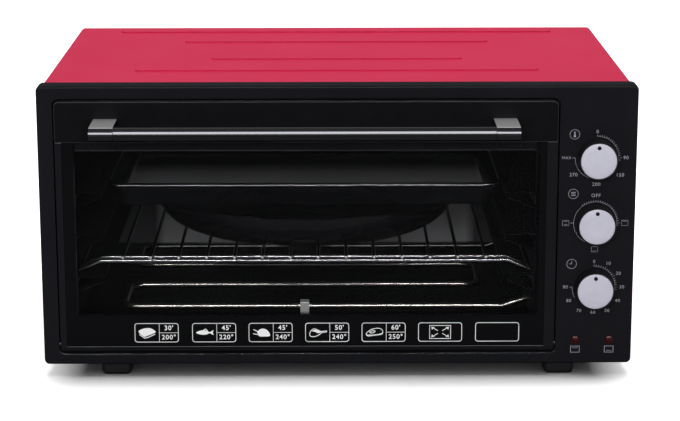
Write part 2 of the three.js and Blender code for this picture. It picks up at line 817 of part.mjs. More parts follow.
// Knob: a hollow skirt with a hub for the shaft and a shallow seat for the silver cap
function knob() {
  const front = -knobFront;
  const seat = front + capThickness + seatGap;
  const faceRear = seat + knobFaceWall;
  const skirtInner = knobRadius - knobSkirtWall;
  const boreRadius = shaftRadius + seatGap;
  return turned([
    [0, seat + knobFaceWall / 2], [boreRadius, seat + knobFaceWall / 2], [boreRadius, -knobGap - frameSheet],
    [knobHubRadius, -knobGap - frameSheet], [knobHubRadius, faceRear], [skirtInner, faceRear],
    [skirtInner, -knobGap], [knobRadius, -knobGap],
    [knobRadius - knobTaper + knobRimRound / 2, front + knobRimRound],
    [knobRadius - knobTaper, front], [knobRadius - knobTaper - knobRim, front],
    [knobRadius - knobTaper - knobRim, seat], [0, seat],
  ]);
}

function knobCap() {
  const radius = knobRadius - knobTaper - knobRim - seatGap;
  const front = -knobFront;
  const disc = turned([
    [0, front], [radius - capChamfer, front], [radius, front + capChamfer],
    [radius, front + capThickness], [0, front + capThickness],
  ]);
  const dot = rod('y', [0, 0, knobRadius * dotRadiusShare], front - cutOverrun, front + dotDepth, dotRadius);
  return cut(disc, [dot]);
}

function controlShaft() {
  const seat = -knobFront + capThickness + seatGap + knobFaceWall / 2 + seatGap;
  return rod('y', [0, 0, 0], seat, bodyFront + shaftSeatDepth, shaftRadius);
}

// Sensing tube: from the thermostat through the shield and the wall, then a bulb along the hot space
function sensingTube() {
  const start = controlAcross - thermostatWidth / 2 - seatGap;
  const across = hot.right - bulbWallGap;
  const end = capillaryDepth + capillaryRun;
  const tube = bentTube([[start, capillaryDepth, capillaryHeight], [across, capillaryDepth, capillaryHeight],
    [across, end, capillaryHeight]], [capillaryBendRadius], heaterBendSteps, capillaryRadius, 6);
  const bulb = rod('y', [across, 0, capillaryHeight], end - bulbLength, end + bulbRadius,
    bulbRadius, wireSides);
  return joined([tube, bulb]);
}

// Pilot lamp: a red lens with a thin flange, its body pushed through the panel
function pilotLamp() {
  return turned([
    [0, -lensProud - lensFlange], [lensRadius / 2, -lensProud - lensFlange / 2],
    [lensRadius, -lensFlange - seatGap], [lensFlangeRadius, -lensFlange - seatGap],
    [lensFlangeRadius, -seatGap], [lensRadius, -seatGap],
    [lensRadius, lampBodyLength], [0, lampBodyLength],
  ], smallRoundSides);
}

function heatShield() {
  const right = shieldLeft + innerSheet;
  const bottom = baseTop + seatGap;
  const section = [
    [shieldLeft, bottom], [right + shieldFoot, bottom], [right + shieldFoot, bottom + innerSheet],
    [right, bottom + innerSheet], [right, panelTop - shieldTopGap], [shieldLeft, panelTop - shieldTopGap],
  ];
  const sheet = push(section, 'y', flangeDepth + shieldFrontGap, hot.rear);
  return cut(sheet, [capillaryHole(shieldLeft, innerSheet)]);
}

function terminalBlock() {
  const rear = panelFront - blockSetback;
  const bottom = baseTop + seatGap;
  const top = bottom + blockHeight;
  const body = block(controlAcross - blockWidth / 2, controlAcross + blockWidth / 2, rear - blockLength, rear,
    bottom, top);
  const wells = [];
  for (let at = 0; at < blockWayCount; at += 1) {
    const across = controlAcross + ((at - (blockWayCount - 1) / 2) * blockWidth) / blockWayCount;
    wells.push(rod('z', [across, rear - blockLength / 2, 0], top - blockScrewDepth, top + cutOverrun,
      blockScrewRadius, wireSides));
    wells.push(rod('y', [across, 0, (bottom + top) / 2], rear - blockScrewDepth, rear + cutOverrun,
      blockScrewRadius, wireSides));
  }
  return cut(body, wells);
}

function cordGland() {
  return turned([
    [glandBoreRadius, panelFront - seatGap - glandFlange],
    [glandFlangeRadius, panelFront - seatGap - glandFlange],
    [glandFlangeRadius, panelFront - seatGap], [glandNeckRadius, panelFront - seatGap],
    [glandNeckRadius, panelRear + seatGap], [glandFlangeRadius, panelRear + seatGap],
    [glandFlangeRadius - capChamfer, panelRear + seatGap + glandFlange],
    [glandBoreRadius, panelRear + seatGap + glandFlange],
  ]);
}

// Foot: a block whose lower corners are rounded
function foot() {
  const half = footWidth / 2;
  const top = footHeight - seatGap;
  const quarter = Math.PI / 2;
  const centre = half - footCornerRadius;
  const outline = [
    [half, top], [-half, top],
    ...arcPoints(-centre, footCornerRadius, footCornerRadius, 2 * quarter, 3 * quarter, cornerSteps),
    ...arcPoints(centre, footCornerRadius, footCornerRadius, 3 * quarter, 4 * quarter, cornerSteps),
  ];
  return push(outline, 'y', -footDepth / 2, footDepth / 2);
}

// Hinge arm places, and the slot that lets an arm through a sheet
const armCentres = [door.left + armInset + armThickness / 2, door.right - armInset - armThickness / 2];
const lampPlaces = [controlAcross - lampSpread, controlAcross + lampSpread];

function armSlot(across, sideClearance, sheetFront, sheetRear) {
  const half = armThickness / 2 + sideClearance;
  const lowest = Math.sqrt(armInnerRadius ** 2 - (sheetRear - hingeDepth) ** 2);
  return block(across - half, across + half, sheetFront - cutOverrun, sheetRear + cutOverrun,
    hingeHeight + lowest - armSlotEnd, hingeHeight + armOuterRadius + armSlotEnd);
}

// Hinge pin: on a plate behind the recess wall, through the wall into the door's foot
function hingePin(side) {
  const wall = side < 0 ? recess.left : recess.right;
  const doorEdge = side < 0 ? door.left : door.right;
  const plateFace = wall + side * (frameSheet + seatGap);
  const plateBack = plateFace + side * pinPlateThickness;
  const tip = doorEdge - side * pinReach;
  const shank = rod('x', [0, hingeDepth, hingeHeight], Math.min(tip, plateBack), Math.max(tip, plateBack),
    pinRadius);
  const plate = block(Math.min(plateFace, plateBack), Math.max(plateFace, plateBack), frameSheet + seatGap,
    recessDepth, hingeHeight - pinPlateHeight / 2, hingeHeight + pinPlateHeight / 2);
  return joined([shank, plate]);
}

// Hinge arm: an arc about the hinge, with a root plate inside the door and a stop lug at its far end
function hingeArm(across) {
  const rootRear = linerFront - seatGap;
  const rootFront = rootRear - armRootSheet;
  const startAngle = Math.acos((rootFront + armRootSheet / 2 - hingeDepth) / armRadius);
  const endAngle = THREE.MathUtils.degToRad(armEndAngle);
  const lugAngle = THREE.MathUtils.degToRad(armEndAngle - armLugAngle);
  const sector = (inner, outer, from, to, steps) => [
    ...arcPoints(hingeDepth, hingeHeight, outer, from, to, steps),
    ...arcPoints(hingeDepth, hingeHeight, inner, to, from, steps),
  ];
  const left = across - armThickness / 2;
  const right = across + armThickness / 2;
  const arc = push(sector(armInnerRadius, armOuterRadius, startAngle, endAngle - weldDistance, armSteps),
    'x', left, right);
  const lug = push(sector(armInnerRadius - armLugExtra, armOuterRadius + armLugExtra, endAngle, lugAngle, 1),
    'x', left, right);
  const root = block(across - armRootWidth / 2, across + armRootWidth / 2, rootFront, rootRear,
    hingeHeight + armRadius - armRootHeight / 2, hingeHeight + armRadius + armRootHeight / 2);
  return joined([arc, lug, root]);
}

// Leaf spring: a foot on the recess floor and a tongue that lies against the arm
function armSpring(side) {
  const arm = side < 0 ? armCentres[0] : armCentres[1];
  const nearArm = arm + side * (armThickness / 2 + seatGap);
  const rise = nearArm + side * springStandoff;
  const front = recessFloorRear + seatGap;
  const out = (distance) => rise + side * distance;
  const section = [
    [out(springFoot), front], [out(0), front], [out(0), front + springRise],
    [nearArm, front + springRise + springBend], [nearArm, front + springRise + springBend + springTongue],
    [nearArm + side * springSheet, front + springRise + springBend + springTongue],
    [nearArm + side * springSheet, front + springRise + springBend],
    [out(springSheet), front + springRise], [out(springSheet), front + springSheet],
    [out(springFoot), front + springSheet],
  ];
  const height = hingeHeight + armRadius;
  return push(section, 'z', height - springHeight / 2, height + springHeight / 2);
}

// Door frame: a pressed frame with a half-round foot, a pocket for the glass and a set-back face for the trim
function doorFrame() {
  const body = push(roundedOutline(door.left, door.right, door.bottom, door.top, doorCornerRadius),
    'y', door.front, doorFrameRear);
  const footBlock = block(door.left - cutOverrun, door.right + cutOverrun, door.front - cutOverrun,
    doorFrameRear + cutOverrun, door.bottom - cutOverrun, hingeHeight);
  const footRound = rod('x', [0, hingeDepth, hingeHeight], door.left - 2 * cutOverrun,
    door.right + 2 * cutOverrun, doorFootRadius, roundSides);
  const pocket = block(door.left + doorStripLeft, door.right - doorStripRight, door.front - cutOverrun,
    pocketRear, door.bottom + doorStripFoot, trimBottom + cutOverrun);
  const trimSeat = block(door.left - cutOverrun, door.right + cutOverrun, door.front - cutOverrun, pocketRear,
    trimBottom, door.top + cutOverrun);
  const windowOutline = roundedOutline(door.left + doorStripLeft + glassLedge,
    door.right - doorStripRight - glassLedge, door.bottom + doorStripFoot + glassLedge,
    trimBottom - glassLedge, doorCornerRadius);
  const window = push(windowOutline, 'y', door.front - cutOverrun, doorFrameRear + cutOverrun);
  const hollow = push(roundedOutline(door.left + doorFrameSheet, door.right - doorFrameSheet,
    hingeHeight + doorRailRise, door.top - doorFrameSheet, doorCornerRadius - doorFrameSheet),
  'y', ledgeRear, doorFrameRear + cutOverrun);
  const pinBores = [door.left, door.right].map((edge) => rod('x', [0, hingeDepth, hingeHeight],
    edge - pinReach - seatGap, edge + pinReach + seatGap, pinRadius + seatGap));
  const screwHoles = handleScrewPlaces.map((across) => rod('y', [across, 0, handleAxisHeight],
    door.front, ledgeRear + cutOverrun, screwRadius + seatGap));
  const footCut = cut(footBlock, [footRound]);
  return cut(body, [footCut, pocket, trimSeat, window, hollow, ...pinBores, ...screwHoles]);
}

// Door liner: the steel sheet that closes the door behind, with its window and slots for the arms
function doorLiner() {
  const sheet = push(roundedOutline(door.left + doorLinerInset, door.right - doorLinerInset, hingeHeight,
    door.top - doorLinerInset, doorCornerRadius - doorLinerInset), 'y', linerFront, linerRear);
  const window = push(roundedOutline(linerWindow.left, linerWindow.right, linerWindow.bottom, linerWindow.top,
    mouthCornerRadius), 'y', linerFront - cutOverrun, linerRear + cutOverrun);
  return cut(sheet, [window, ...armCentres.map((across) => armSlot(across, seatGap, linerFront, linerRear))]);
}

function outerGlass() {
  const outline = roundedOutline(door.left + doorStripLeft + seatGap, door.right - doorStripRight - seatGap,
    door.bottom + doorStripFoot + seatGap, trimBottom - seatGap, doorFrameSheet);
  return push(outline, 'y', door.front, door.front + outerGlassThickness);
}

function innerGlass() {
  const rear = linerFront - seatGap;
  return push(roundedOutline(linerWindow.left - innerGlassBearing, linerWindow.right + innerGlassBearing,
    linerWindow.bottom - innerGlassBearing, linerWindow.top + innerGlassBearing, doorCornerRadius),
  'y', rear - innerGlassThickness, rear);
}

function doorTrim() {
  const outline = roundedOutline(door.left, door.right, trimBottom, door.top, doorCornerRadius);
  const squareFoot = roundedOutline(door.left, door.right, trimBottom, trimBottom + trimHeight / 2,
    trimEdgeRadius, 1);
  const bar = joined([
    roundFronted(outline, door.front - trimProud, pocketRear - seatGap, trimEdgeRadius, trimEdgeSteps),
    roundFronted(squareFoot, door.front - trimProud, pocketRear - seatGap, trimEdgeRadius, trimEdgeSteps),
  ]);
  const holes = handleScrewPlaces.map((across) => rod('y', [across, 0, handleAxisHeight],
    door.front - trimProud - cutOverrun, pocketRear, screwRadius + seatGap));
  return cut(bar, holes);
}

// Handle: a hollow bar between two end blocks, each screwed on from inside the door
const handleFront = door.front - handleFrontReach;
const handleRear = handleFront + handleBarDepth;
const handleTop = door.top - handleTopDrop;
const handleBottom = handleTop - handleBarHeight;
const handleEnds = [door.left + handleInsetLeft, door.right - handleInsetRight];
const handleAxisHeight = handleTop - handleEndLegHeight / 2;
const handleScrewPlaces = [handleEnds[0] + handleEndWidth / 2, handleEnds[1] - handleEndWidth / 2];

function barSection(inset) {
  return roundedOutline(handleFront + inset, handleRear - inset, handleBottom + inset, handleTop - inset,
    handleRound - inset);
}

function handleBar() {
  const left = handleEnds[0] + handleEndWidth + seatGap;
  const right = handleEnds[1] - handleEndWidth - seatGap;
  return cut(push(barSection(0), 'x', left, right),
    [push(barSection(handleBarWall), 'x', left - cutOverrun, right + cutOverrun)]);
}

function handleEnd(side) {
  const outer = side < 0 ? handleEnds[0] : handleEnds[1];
  const inner = outer - side * handleEndWidth;
  const tip = inner - side * handleSpigot;
  const nose = push(barSection(0), 'x', Math.min(outer, inner), Math.max(outer, inner));
  const leg = block(Math.min(outer, inner), Math.max(outer, inner), handleRear - handleRound,
    door.front - trimProud - seatGap, handleTop - handleEndLegHeight, handleTop);
  const spigot = push(barSection(handleBarWall + seatGap), 'x', Math.min(inner, tip), Math.max(inner, tip));
  const threadFront = door.front - trimProud - screwLength;
  const thread = rod('y', [outer - side * handleEndWidth / 2, 0, handleAxisHeight], threadFront,
    door.front, screwRadius + seatGap);
  return cut(joined([nose, leg, spigot]), [thread]);
}

function handleScrew(across) {
  const centre = [across, 0, handleAxisHeight];
  const headFront = ledgeRear + seatGap;
  const tip = door.front - trimProud - screwLength + seatGap;
  const shank = rod('y', centre, tip, headFront + screwHeadThickness / 2, screwRadius, wireSides);
  const head = rod('y', centre, headFront, headFront + screwHeadThickness, screwHeadRadius);
  return joined([shank, head]);
}

// Wire rack: side rails on the low ledges, bent cross rails, and wires from front to rear on top of them
const rackLeft = hot.left + rackSideClearance + rackRailRadius;
const rackRight = hot.right - rackSideClearance - rackRailRadius;
const rackEndHeight = lowLedgeTop + seatGap + rackRailRadius;
const rackHeight = rackEndHeight + rackEndDrop;
const rackFront = hot.front + rackFrontMargin;
const rackRear = hot.rear - rackRearMargin;
const rackWireInset = rackEndRun + rackWireMargin;
const rackWirePitch = (rackRight - rackLeft - 2 * rackWireInset) / (rackWireCount - 1);
const rackWireHeight = rackHeight + rackRailRadius + rackWireRadius - rackWeld;

function wireRack() {
  const bends = [rackRailBendRadius, rackRailBendRadius];
  const rails = [rackFront, rackFront + rackSecondRail, rackRear].map((depth) => bentTube([
    [rackLeft, depth, rackEndHeight], [rackLeft + rackEndRun, depth, rackHeight],
    [rackRight - rackEndRun, depth, rackHeight], [rackRight, depth, rackEndHeight],
  ], bends, rackBendSteps, rackRailRadius));
  const sides = [rackLeft, rackRight].map((across) => rod('y', [across, 0, rackEndHeight],
    rackFront - rackRailRadius, rackRear + rackRailRadius, rackRailRadius, wireSides));
  const wires = [];
  for (let at = 0; at < rackWireCount; at += 1) {
    const across = (rackLeft + rackRight) / 2 + (at - (rackWireCount - 1) / 2) * rackWirePitch;
    wires.push(rod('y', [across, 0, rackWireHeight], rackFront - rackRailRadius, rackRear + rackRailRadius,
      rackWireRadius, rackWireSides));
  }
  return joined([...rails, ...sides, ...wires]);
}

// Baking tray: a flared well under a flat rim that rests on the high ledges
function flaredWell(inset, bottom, top) {
  const flareHere = trayFlare * ((top - bottom) / trayWell);
  const left = tray.left + trayRim + trayFlare + inset;
  const right = tray.right - trayRim - trayFlare - inset;
  const front = tray.front + trayRim + trayFlare + inset;
  const rear = tray.rear - trayRim - trayFlare - inset;
  const geometry = new THREE.ExtrudeGeometry(
    outlineOf(roundedOutline(left, right, front, rear, trayCornerRadius - trayFlare - inset)), {
      depth: trayWell,
      bevelThickness: top - bottom,
      bevelSize: flareHere,
      bevelSegments: 1,
    });
  geometry.translate(0, 0, top);
  const above = block(tray.left - cutOverrun, tray.right + cutOverrun, tray.front - cutOverrun,
    tray.rear + cutOverrun, top, top + trayWell + trayWell + cutOverrun);
  return solidOf(geometry).subtract(above);
}

const tray = {
  left: hot.left + ledgeWidth - trayBearing,
  right: hot.right - ledgeWidth + trayBearing,
  front: hot.front + trayFrontMargin,
  rear: hot.rear - trayRearMargin,
  rimBottom: highLedgeTop + seatGap,
};

function bakingTray() {
  const rimTop = tray.rimBottom + traySheet;
  const bottom = rimTop - trayWell;
  const rim = push(roundedOutline(tray.left, tray.right, tray.front, tray.rear, trayCornerRadius),
    'z', tray.rimBottom, rimTop);
  const well = flaredWell(0, bottom, tray.rimBottom + weldDistance);
  const hollow = flaredWell(traySheet, bottom + traySheet, rimTop + traySheet);
  return cut(joined([rim, well]), [hollow]);
}

// Round pan: a turned dish with a curved wall and a flat rim, as wide as the hot space leaves room for
const panBottom = rackWireHeight + rackWireRadius + seatGap;
const panRimRadius = Math.min((hot.rear - hot.front) / 2 - panDepthGap,
  hot.right - hotCentre - ledgeWidth - panLedgeGap);
const panBaseRadius = panRimRadius - panRim - panWallRun;
const panHeight = tray.rimBottom + traySheet - trayWell - panTopGap - panBottom;
const panDepth = hot.rear - panRearGap - panRimRadius;

function roundPan() {
  const wall = (inset, low, high) => {
    const points = [];
    for (let step = 0; step <= panWallSteps; step += 1) {
      const angle = (Math.PI / 2) * (step / panWallSteps);
      const radius = panBaseRadius - inset + panWallRun * Math.sin(angle);
      points.push([radius, low + (high - low) * (1 - Math.cos(angle))]);
    }
    return points;
  };
  const profile = [
    [0, 0], ...wall(0, 0, panHeight - panSheet), [panRimRadius, panHeight - panSheet],
    [panRimRadius, panHeight], ...wall(panSheet, panSheet, panHeight).reverse(), [0, panSheet],
  ];
  const points = profile.map(([radius, up]) => new THREE.Vector2(radius, up));
  return solidOf(new THREE.LatheGeometry(points, panSides).rotateX(Math.PI / 2));
}

// Cabinet pieces
const group = new THREE.Group();
const cabinet = new THREE.Group();
addPiece(cabinet, 'front_frame', frontFrame(), 'blackEnamel');
addPiece(cabinet, 'outer_cover', cover(), 'redPaint');
addPiece(cabinet, 'base_plate', basePlate(), 'greySteel');
addPiece(cabinet, 'rear_panel', rearPanel(), 'greySteel');
addPiece(cabinet, 'cavity_left_wall', sideWall(-1), 'greySteel');
addPiece(cabinet, 'cavity_right_wall',
  cut(sideWall(1), [...heaterHoles(), capillaryHole(hot.right, innerSheet)]), 'greySteel');
addPiece(cabinet, 'cavity_ceiling', levelSheet(hot.top), 'greySteel');
addPiece(cabinet, 'cavity_floor', levelSheet(hot.bottom - innerSheet), 'greySteel');
addPiece(cabinet, 'cavity_back', backSheet(), 'greySteel');
addPiece(cabinet, 'heater_lower', heater(lowerHeaterPlane, heaterEndStep), 'heaterSteel');
addPiece(cabinet, 'heater_upper', heater(upperHeaterPlane, -heaterEndStep), 'heaterSteel');
addPiece(cabinet, 'heater_lower_clip', heaterClip(hot.bottom, lowerHeaterPlane), 'satin');
addPiece(cabinet, 'heater_upper_clip', heaterClip(hot.top, upperHeaterPlane), 'satin');
addPiece(cabinet, 'control_bracket', controlBracket(), 'greySteel');
addPiece(cabinet, 'thermostat_capillary', sensingTube(), 'copper');
addPiece(cabinet, 'heat_shield', heatShield(), 'greySteel');
addPiece(cabinet, 'terminal_block', terminalBlock(), 'palePlastic');
addPiece(cabinet, 'cord_gland', cordGland(), 'blackPlastic', [controlAcross, 0, baseTop + glandRise]);
['left', 'right'].forEach((name, at) => {
  addPiece(cabinet, `pilot_lamp_${name}`, pilotLamp(), 'redLens', [lampPlaces[at], 0, lampHeight]);
});
const footAcross = cabinetWidth / 2 - footSideInset - footWidth / 2;
const footDepths = {
  front: footFrontInset + footDepth / 2,
  rear: panelFront - footRearInset - footDepth / 2,
};
for (const [place, depth] of Object.entries(footDepths)) {
  addPiece(cabinet, `foot_${place}_left`, foot(), 'blackPlastic', [-footAcross, depth, 0]);
  addPiece(cabinet, `foot_${place}_right`, foot(), 'blackPlastic', [footAcross, depth, 0]);
}
['left', 'right'].forEach((name, at) => {
  const side = 2 * at - 1;
  addPiece(cabinet, `hinge_pin_${name}`, hingePin(side), 'satin');
  addPiece(cabinet, `hinge_spring_${name}`, armSpring(side), 'satin');
});

// Door pieces
const doorGroup = new THREE.Group();
addPiece(doorGroup, 'door_frame', doorFrame(), 'blackEnamel');
addPiece(doorGroup, 'door_liner', doorLiner(), 'greySteel');
addPiece(doorGroup, 'door_glass_outer', outerGlass(), 'smokedGlass');
addPiece(doorGroup, 'door_glass_inner', innerGlass(), 'clearGlass');
addPiece(doorGroup, 'door_top_trim', doorTrim(), 'blackPlastic');
addPiece(doorGroup, 'handle_bar', handleBar(), 'chrome');
['left', 'right'].forEach((name, at) => {
  addPiece(doorGroup, `handle_end_${name}`, handleEnd(2 * at - 1), 'satin');
  addPiece(doorGroup, `handle_screw_${name}`, handleScrew(handleScrewPlaces[at]), 'satin');
  addPiece(doorGroup, `hinge_arm_${name}`, hingeArm(armCentres[at]), 'greySteel');
});

// Control pieces, each set built about its own axis
const controls = [
  {
    name: 'thermostat',
    width: thermostatWidth,
    height: thermostatHeight,
    depth: thermostatDepth,
    tabCount: thermostatTabCount,
  },
  {
    name: 'function',
    width: switchWidth,
    height: switchHeight,
    depth: switchDepth,
    tabCount: switchTabCount,
  },
  {
    name: 'timer',
    width: timerWidth,
    height: timerHeight,
    depth: timerDepth,
    tabCount: timerTabCount,
  },
];
controls.forEach(({ name, ...size }, row) => {
  const set = new THREE.Group();
  set.position.set(controlAcross, 0, controlHeights[row]);
  addPiece(set, `${name}_body`, controlBody(size), 'phenolic');
  addPiece(set, `${name}_knob`, knob(), 'blackPlastic');
  addPiece(set, `${name}_knob_cap`, knobCap(), 'knobSilver');
  addPiece(set, `${name}_shaft`, controlShaft(), 'satin');
  if (name === 'timer') addPiece(set, 'timer_bell', timerBell(), 'satin');
  group.add(set);
});

// Loose pieces in the hot space
const contents = new THREE.Group();
addPiece(contents, 'wire_rack', wireRack(), 'brightWire');
addPiece(contents, 'baking_tray', bakingTray(), 'darkEnamel');
addPiece(contents, 'round_pan', roundPan(), 'darkEnamel', [hotCentre, panDepth, panBottom]);

group.add(cabinet, doorGroup, contents);

// The whole oven stands with its origin under the middle of its outer box
const rearmost = panelRear + seatGap + glandFlange;
group.position.set(0, -(handleFront + rearmost) / 2, 0);

export default group;
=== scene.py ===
import math

import bmesh
import bpy
from mathutils import Matrix, Vector


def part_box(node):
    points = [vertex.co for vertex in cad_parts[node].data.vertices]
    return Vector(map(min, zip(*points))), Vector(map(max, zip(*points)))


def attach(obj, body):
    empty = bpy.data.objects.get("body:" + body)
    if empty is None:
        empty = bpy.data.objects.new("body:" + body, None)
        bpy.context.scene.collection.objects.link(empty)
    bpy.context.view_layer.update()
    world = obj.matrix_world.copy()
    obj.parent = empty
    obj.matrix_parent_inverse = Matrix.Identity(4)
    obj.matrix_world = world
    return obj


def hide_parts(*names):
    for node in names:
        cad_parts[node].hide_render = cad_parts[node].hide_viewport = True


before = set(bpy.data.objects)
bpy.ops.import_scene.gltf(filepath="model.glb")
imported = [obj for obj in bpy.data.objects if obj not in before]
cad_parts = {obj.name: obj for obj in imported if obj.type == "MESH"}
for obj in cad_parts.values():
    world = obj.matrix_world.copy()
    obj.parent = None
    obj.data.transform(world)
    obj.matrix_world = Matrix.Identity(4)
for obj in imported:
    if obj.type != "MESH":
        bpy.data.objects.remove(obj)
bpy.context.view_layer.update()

# The view: a long lens a little above the oven, almost square to its front, so that the cover's top shows.
# The camera stands off the front frame's face, 9 mm to the left of the oven's middle.
def placed(name, data):
    """A camera, light, mesh or text as an object in the scene."""
    thing = bpy.data.objects.new(name, data)
    bpy.context.scene.collection.objects.link(thing)
    return thing


face_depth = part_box("front_frame")[0].y
camera_across = -0.0089
camera_distance = 2.0689
camera_height = 0.6732
camera_pitch = math.radians(13.648)
camera_yaw = math.radians(0.312)
camera_roll = math.radians(-0.069)
camera_data = bpy.data.cameras.new("camera")
camera_data.sensor_width = 36.0
camera_data.lens = 113.93
camera = placed("camera", camera_data)
camera.matrix_world = (
    Matrix.Translation((camera_across, face_depth - camera_distance, camera_height))
    @ Matrix.Rotation(-camera_yaw, 4, "Z")
    @ Matrix.Rotation(math.pi / 2 - camera_pitch, 4, "X")
    @ Matrix.Rotation(camera_roll, 4, "Z"))
bpy.context.scene.camera = camera
bpy.context.scene.view_settings.view_transform = "Standard"


# The floor: a wide pale sheet, lit softly, that shows as white; to the camera it also glows, a painted light
# that is nil at the oven's footprint and full a little beyond it, so the oven's shadow is kept only close
# round it.
# The wrapper below lets Python's own signs add a material's sums; one method adds every other node.
class Value:
    """A number, colour or direction that varies over a surface, or along a pattern."""

    def __init__(self, recipe, socket):
        self.recipe = recipe
        self.socket = socket

    def sums(self, operation, first, second=0.0, clamp=False):
        settings = {"operation": operation, "use_clamp": clamp}
        return self.recipe.node("ShaderNodeMath", settings, {"Value": first, "Value_001": second})

    def __add__(self, other):
        return self.sums("ADD", self, other)

    def __sub__(self, other):
        return self.sums("SUBTRACT", self, other)

    def __rsub__(self, other):
        return self.sums("SUBTRACT", other, self)

    def __mul__(self, other):
        return self.sums("MULTIPLY", self, other)

    def __truediv__(self, other):
        return self.sums("DIVIDE", self, other)

    def __lt__(self, other):
        return self.sums("LESS_THAN", self, other)

    def __abs__(self):
        return self.sums("ABSOLUTE", self)

    def held(self):
        """The number kept from 0 to 1."""
        return self.sums("ADD", self, 0.0, True)

    __radd__ = __add__
    __rmul__ = __mul__


class Recipe:
    """The nodes of a material or of a pattern, each added by one method."""

    def __init__(self, tree):
        self.tree = tree
        tree.nodes.clear()

    def node(self, kind, settings=(), sockets=(), output=0):
        node = self.tree.nodes.new(kind)
        for key, value in dict(settings).items():
            setattr(node, key, value)
        for key, value in dict(sockets).items():
            socket = next(one for one in node.inputs if one.identifier == key)
            if isinstance(value, Value):
                self.tree.links.new(value.socket, socket)
            else:
                socket.default_value = value
        return Value(self, node.outputs[output] if node.outputs else None)


class Finish(Recipe):
    """A material. Its shader comes last, through surface() or shaded()."""

    def __init__(self, name):
        self.material = bpy.data.materials.new(name)
        self.material.use_nodes = True
        super().__init__(self.material.node_tree)

    def place(self, stretch=(1, 1, 1)):
        here = self.node("ShaderNodeTexCoord", output="Object")
        return self.node("ShaderNodeMapping", {}, {"Vector": here, "Scale": stretch})

    def along(self, axis):
        return self.node("ShaderNodeSeparateXYZ", {}, {"Vector": self.place()}, axis)

    def noise(self, scale, detail=2.0, stretch=(1, 1, 1)):
        sockets = {"Vector": self.place(stretch), "Scale": scale, "Detail": detail}
        return self.node("ShaderNodeTexNoise", {}, sockets)

    def cells(self, scale, output="Distance"):
        return self.node("ShaderNodeTexVoronoi", {}, {"Vector": self.place(), "Scale": scale}, output)

    def mixed(self, share, first, second):
        sockets = {"Factor_Float": share, "A_Color": first, "B_Color": second}
        return self.node("ShaderNodeMix", {"data_type": "RGBA"}, sockets, 2)

    def bumped(self, height, depth):
        sockets = {"Height": height, "Distance": depth, "Strength": 1.0}
        return self.node("ShaderNodeBump", {}, sockets)

    def shaded(self, shader):
        self.node("ShaderNodeOutputMaterial", {}, {"Surface": shader})
        return self.material

    def surface(self, **sockets):
        named = {key.replace("_", " "): value for key, value in sockets.items()}
        return self.shaded(self.node("ShaderNodeBsdfPrincipled", {}, named))


floor_reach = 14.0
floor_level = 0.85
floor_seen = 0.45
painted_glow_strength = 0.65
shadow_reach = 0.045
shadow_half = Vector((0.255, 0.193))
shadow_middle = 0.027
floor_finish = Finish("pale_floor")
seen = floor_finish.node("ShaderNodeLightPath", output="Is Camera Ray")
diffuse = floor_finish.node("ShaderNodeBsdfDiffuse", {}, {"Color": floor_level + seen * floor_seen})
# Painted light: the floor's glow to the camera grows with distance from the oven's footprint, up to
# shadow_reach.
beside = (abs(floor_finish.along(0)) - shadow_half.x).held()
before = (abs(floor_finish.along(1) - shadow_middle) - shadow_half.y).held()
corner = floor_finish.node("ShaderNodeCombineXYZ", {}, {"X": beside, "Y": before})
away = floor_finish.node("ShaderNodeVectorMath", {"operation": "LENGTH"}, {"Vector": corner}, "Value")
painted_glow = floor_finish.node("ShaderNodeEmission", {}, {
    "Strength": seen * (away / shadow_reach).held() * painted_glow_strength})
floor_finish.shaded(floor_finish.node("ShaderNodeAddShader", {}, {"Shader": diffuse, "Shader_001": painted_glow}))
floor_mesh = bpy.data.meshes.new("floor")
floor_corners = [(-1, -1), (1, -1), (1, 1), (-1, 1)]
floor_mesh.from_pydata([(x * floor_reach, y * floor_reach, 0) for x, y in floor_corners], [], [(0, 1, 2, 3)])
floor_mesh.materials.append(floor_finish.material)
floor = placed("floor", floor_mesh)

# The studio: an even pale room, a soft light overhead, and a low one in front that lights the oven alone and
# reaches in through its window. A wide white cloth, seen only in reflections, draws lines on edges and wires.
room = bpy.data.worlds.new("room")
room.use_nodes = True
bpy.context.scene.world = room
sky = Recipe(room.node_tree)
room_level = 0.20
straight = sky.node("ShaderNodeLightPath", output="Is Camera Ray")
glossy = sky.node("ShaderNodeLightPath", output="Is Glossy Ray")
through = sky.node("ShaderNodeLightPath", output="Is Transmission Ray")
shown = (straight + glossy + through).held()
level = room_level + shown * (1 - room_level)
sky.node("ShaderNodeOutputWorld", {}, {
    "Surface": sky.node("ShaderNodeBackground", {}, {"Color": (1, 1, 1, 1), "Strength": level})})

lamps = {
    "top_lamp": {"place": (0.1, 0.45, 2.6), "aim": (0, 0, 0.2), "size": (2.2, 2.2), "watts": 54.0},
    "front_lamp": {"place": (-0.2, -2.6, 0.95), "aim": (0, 0, 0.15), "size": (1.8, 0.5), "watts": 37.0},
    "cloth": {"place": (0, -2.25, 1.82), "aim": (0, -0.2, 0.22), "size": (4.6, 0.85), "watts": 360.0},
}
for name, lamp in lamps.items():
    light = bpy.data.lights.new(name, "AREA")
    light.shape = "RECTANGLE"
    light.size, light.size_y = lamp["size"]
    light.energy = lamp["watts"]
    stand = placed(name, light)
    stand.location = lamp["place"]
    aim = Vector(lamp["aim"]) - Vector(lamp["place"])
    stand.rotation_euler = aim.to_track_quat("-Z", "Y").to_euler()
    stand.visible_diffuse = stand.visible_transmission = name != "cloth"
    stand.visible_glossy = name == "cloth"
    if name == "front_lamp":
        unlit = bpy.data.collections.new("not_lit_from_the_front")
        unlit.objects.link(floor)
        unlit.collection_objects[0].light_linking.link_state = "EXCLUDE"
        stand.light_linking.receiver_collection = unlit


# The front frame: one deep-drawn steel sheet, gloss black enamel fired on it, folded back round the cover.
# Its pressed corners keep a soft radius where the enamel has flowed.
crease = math.radians(38)


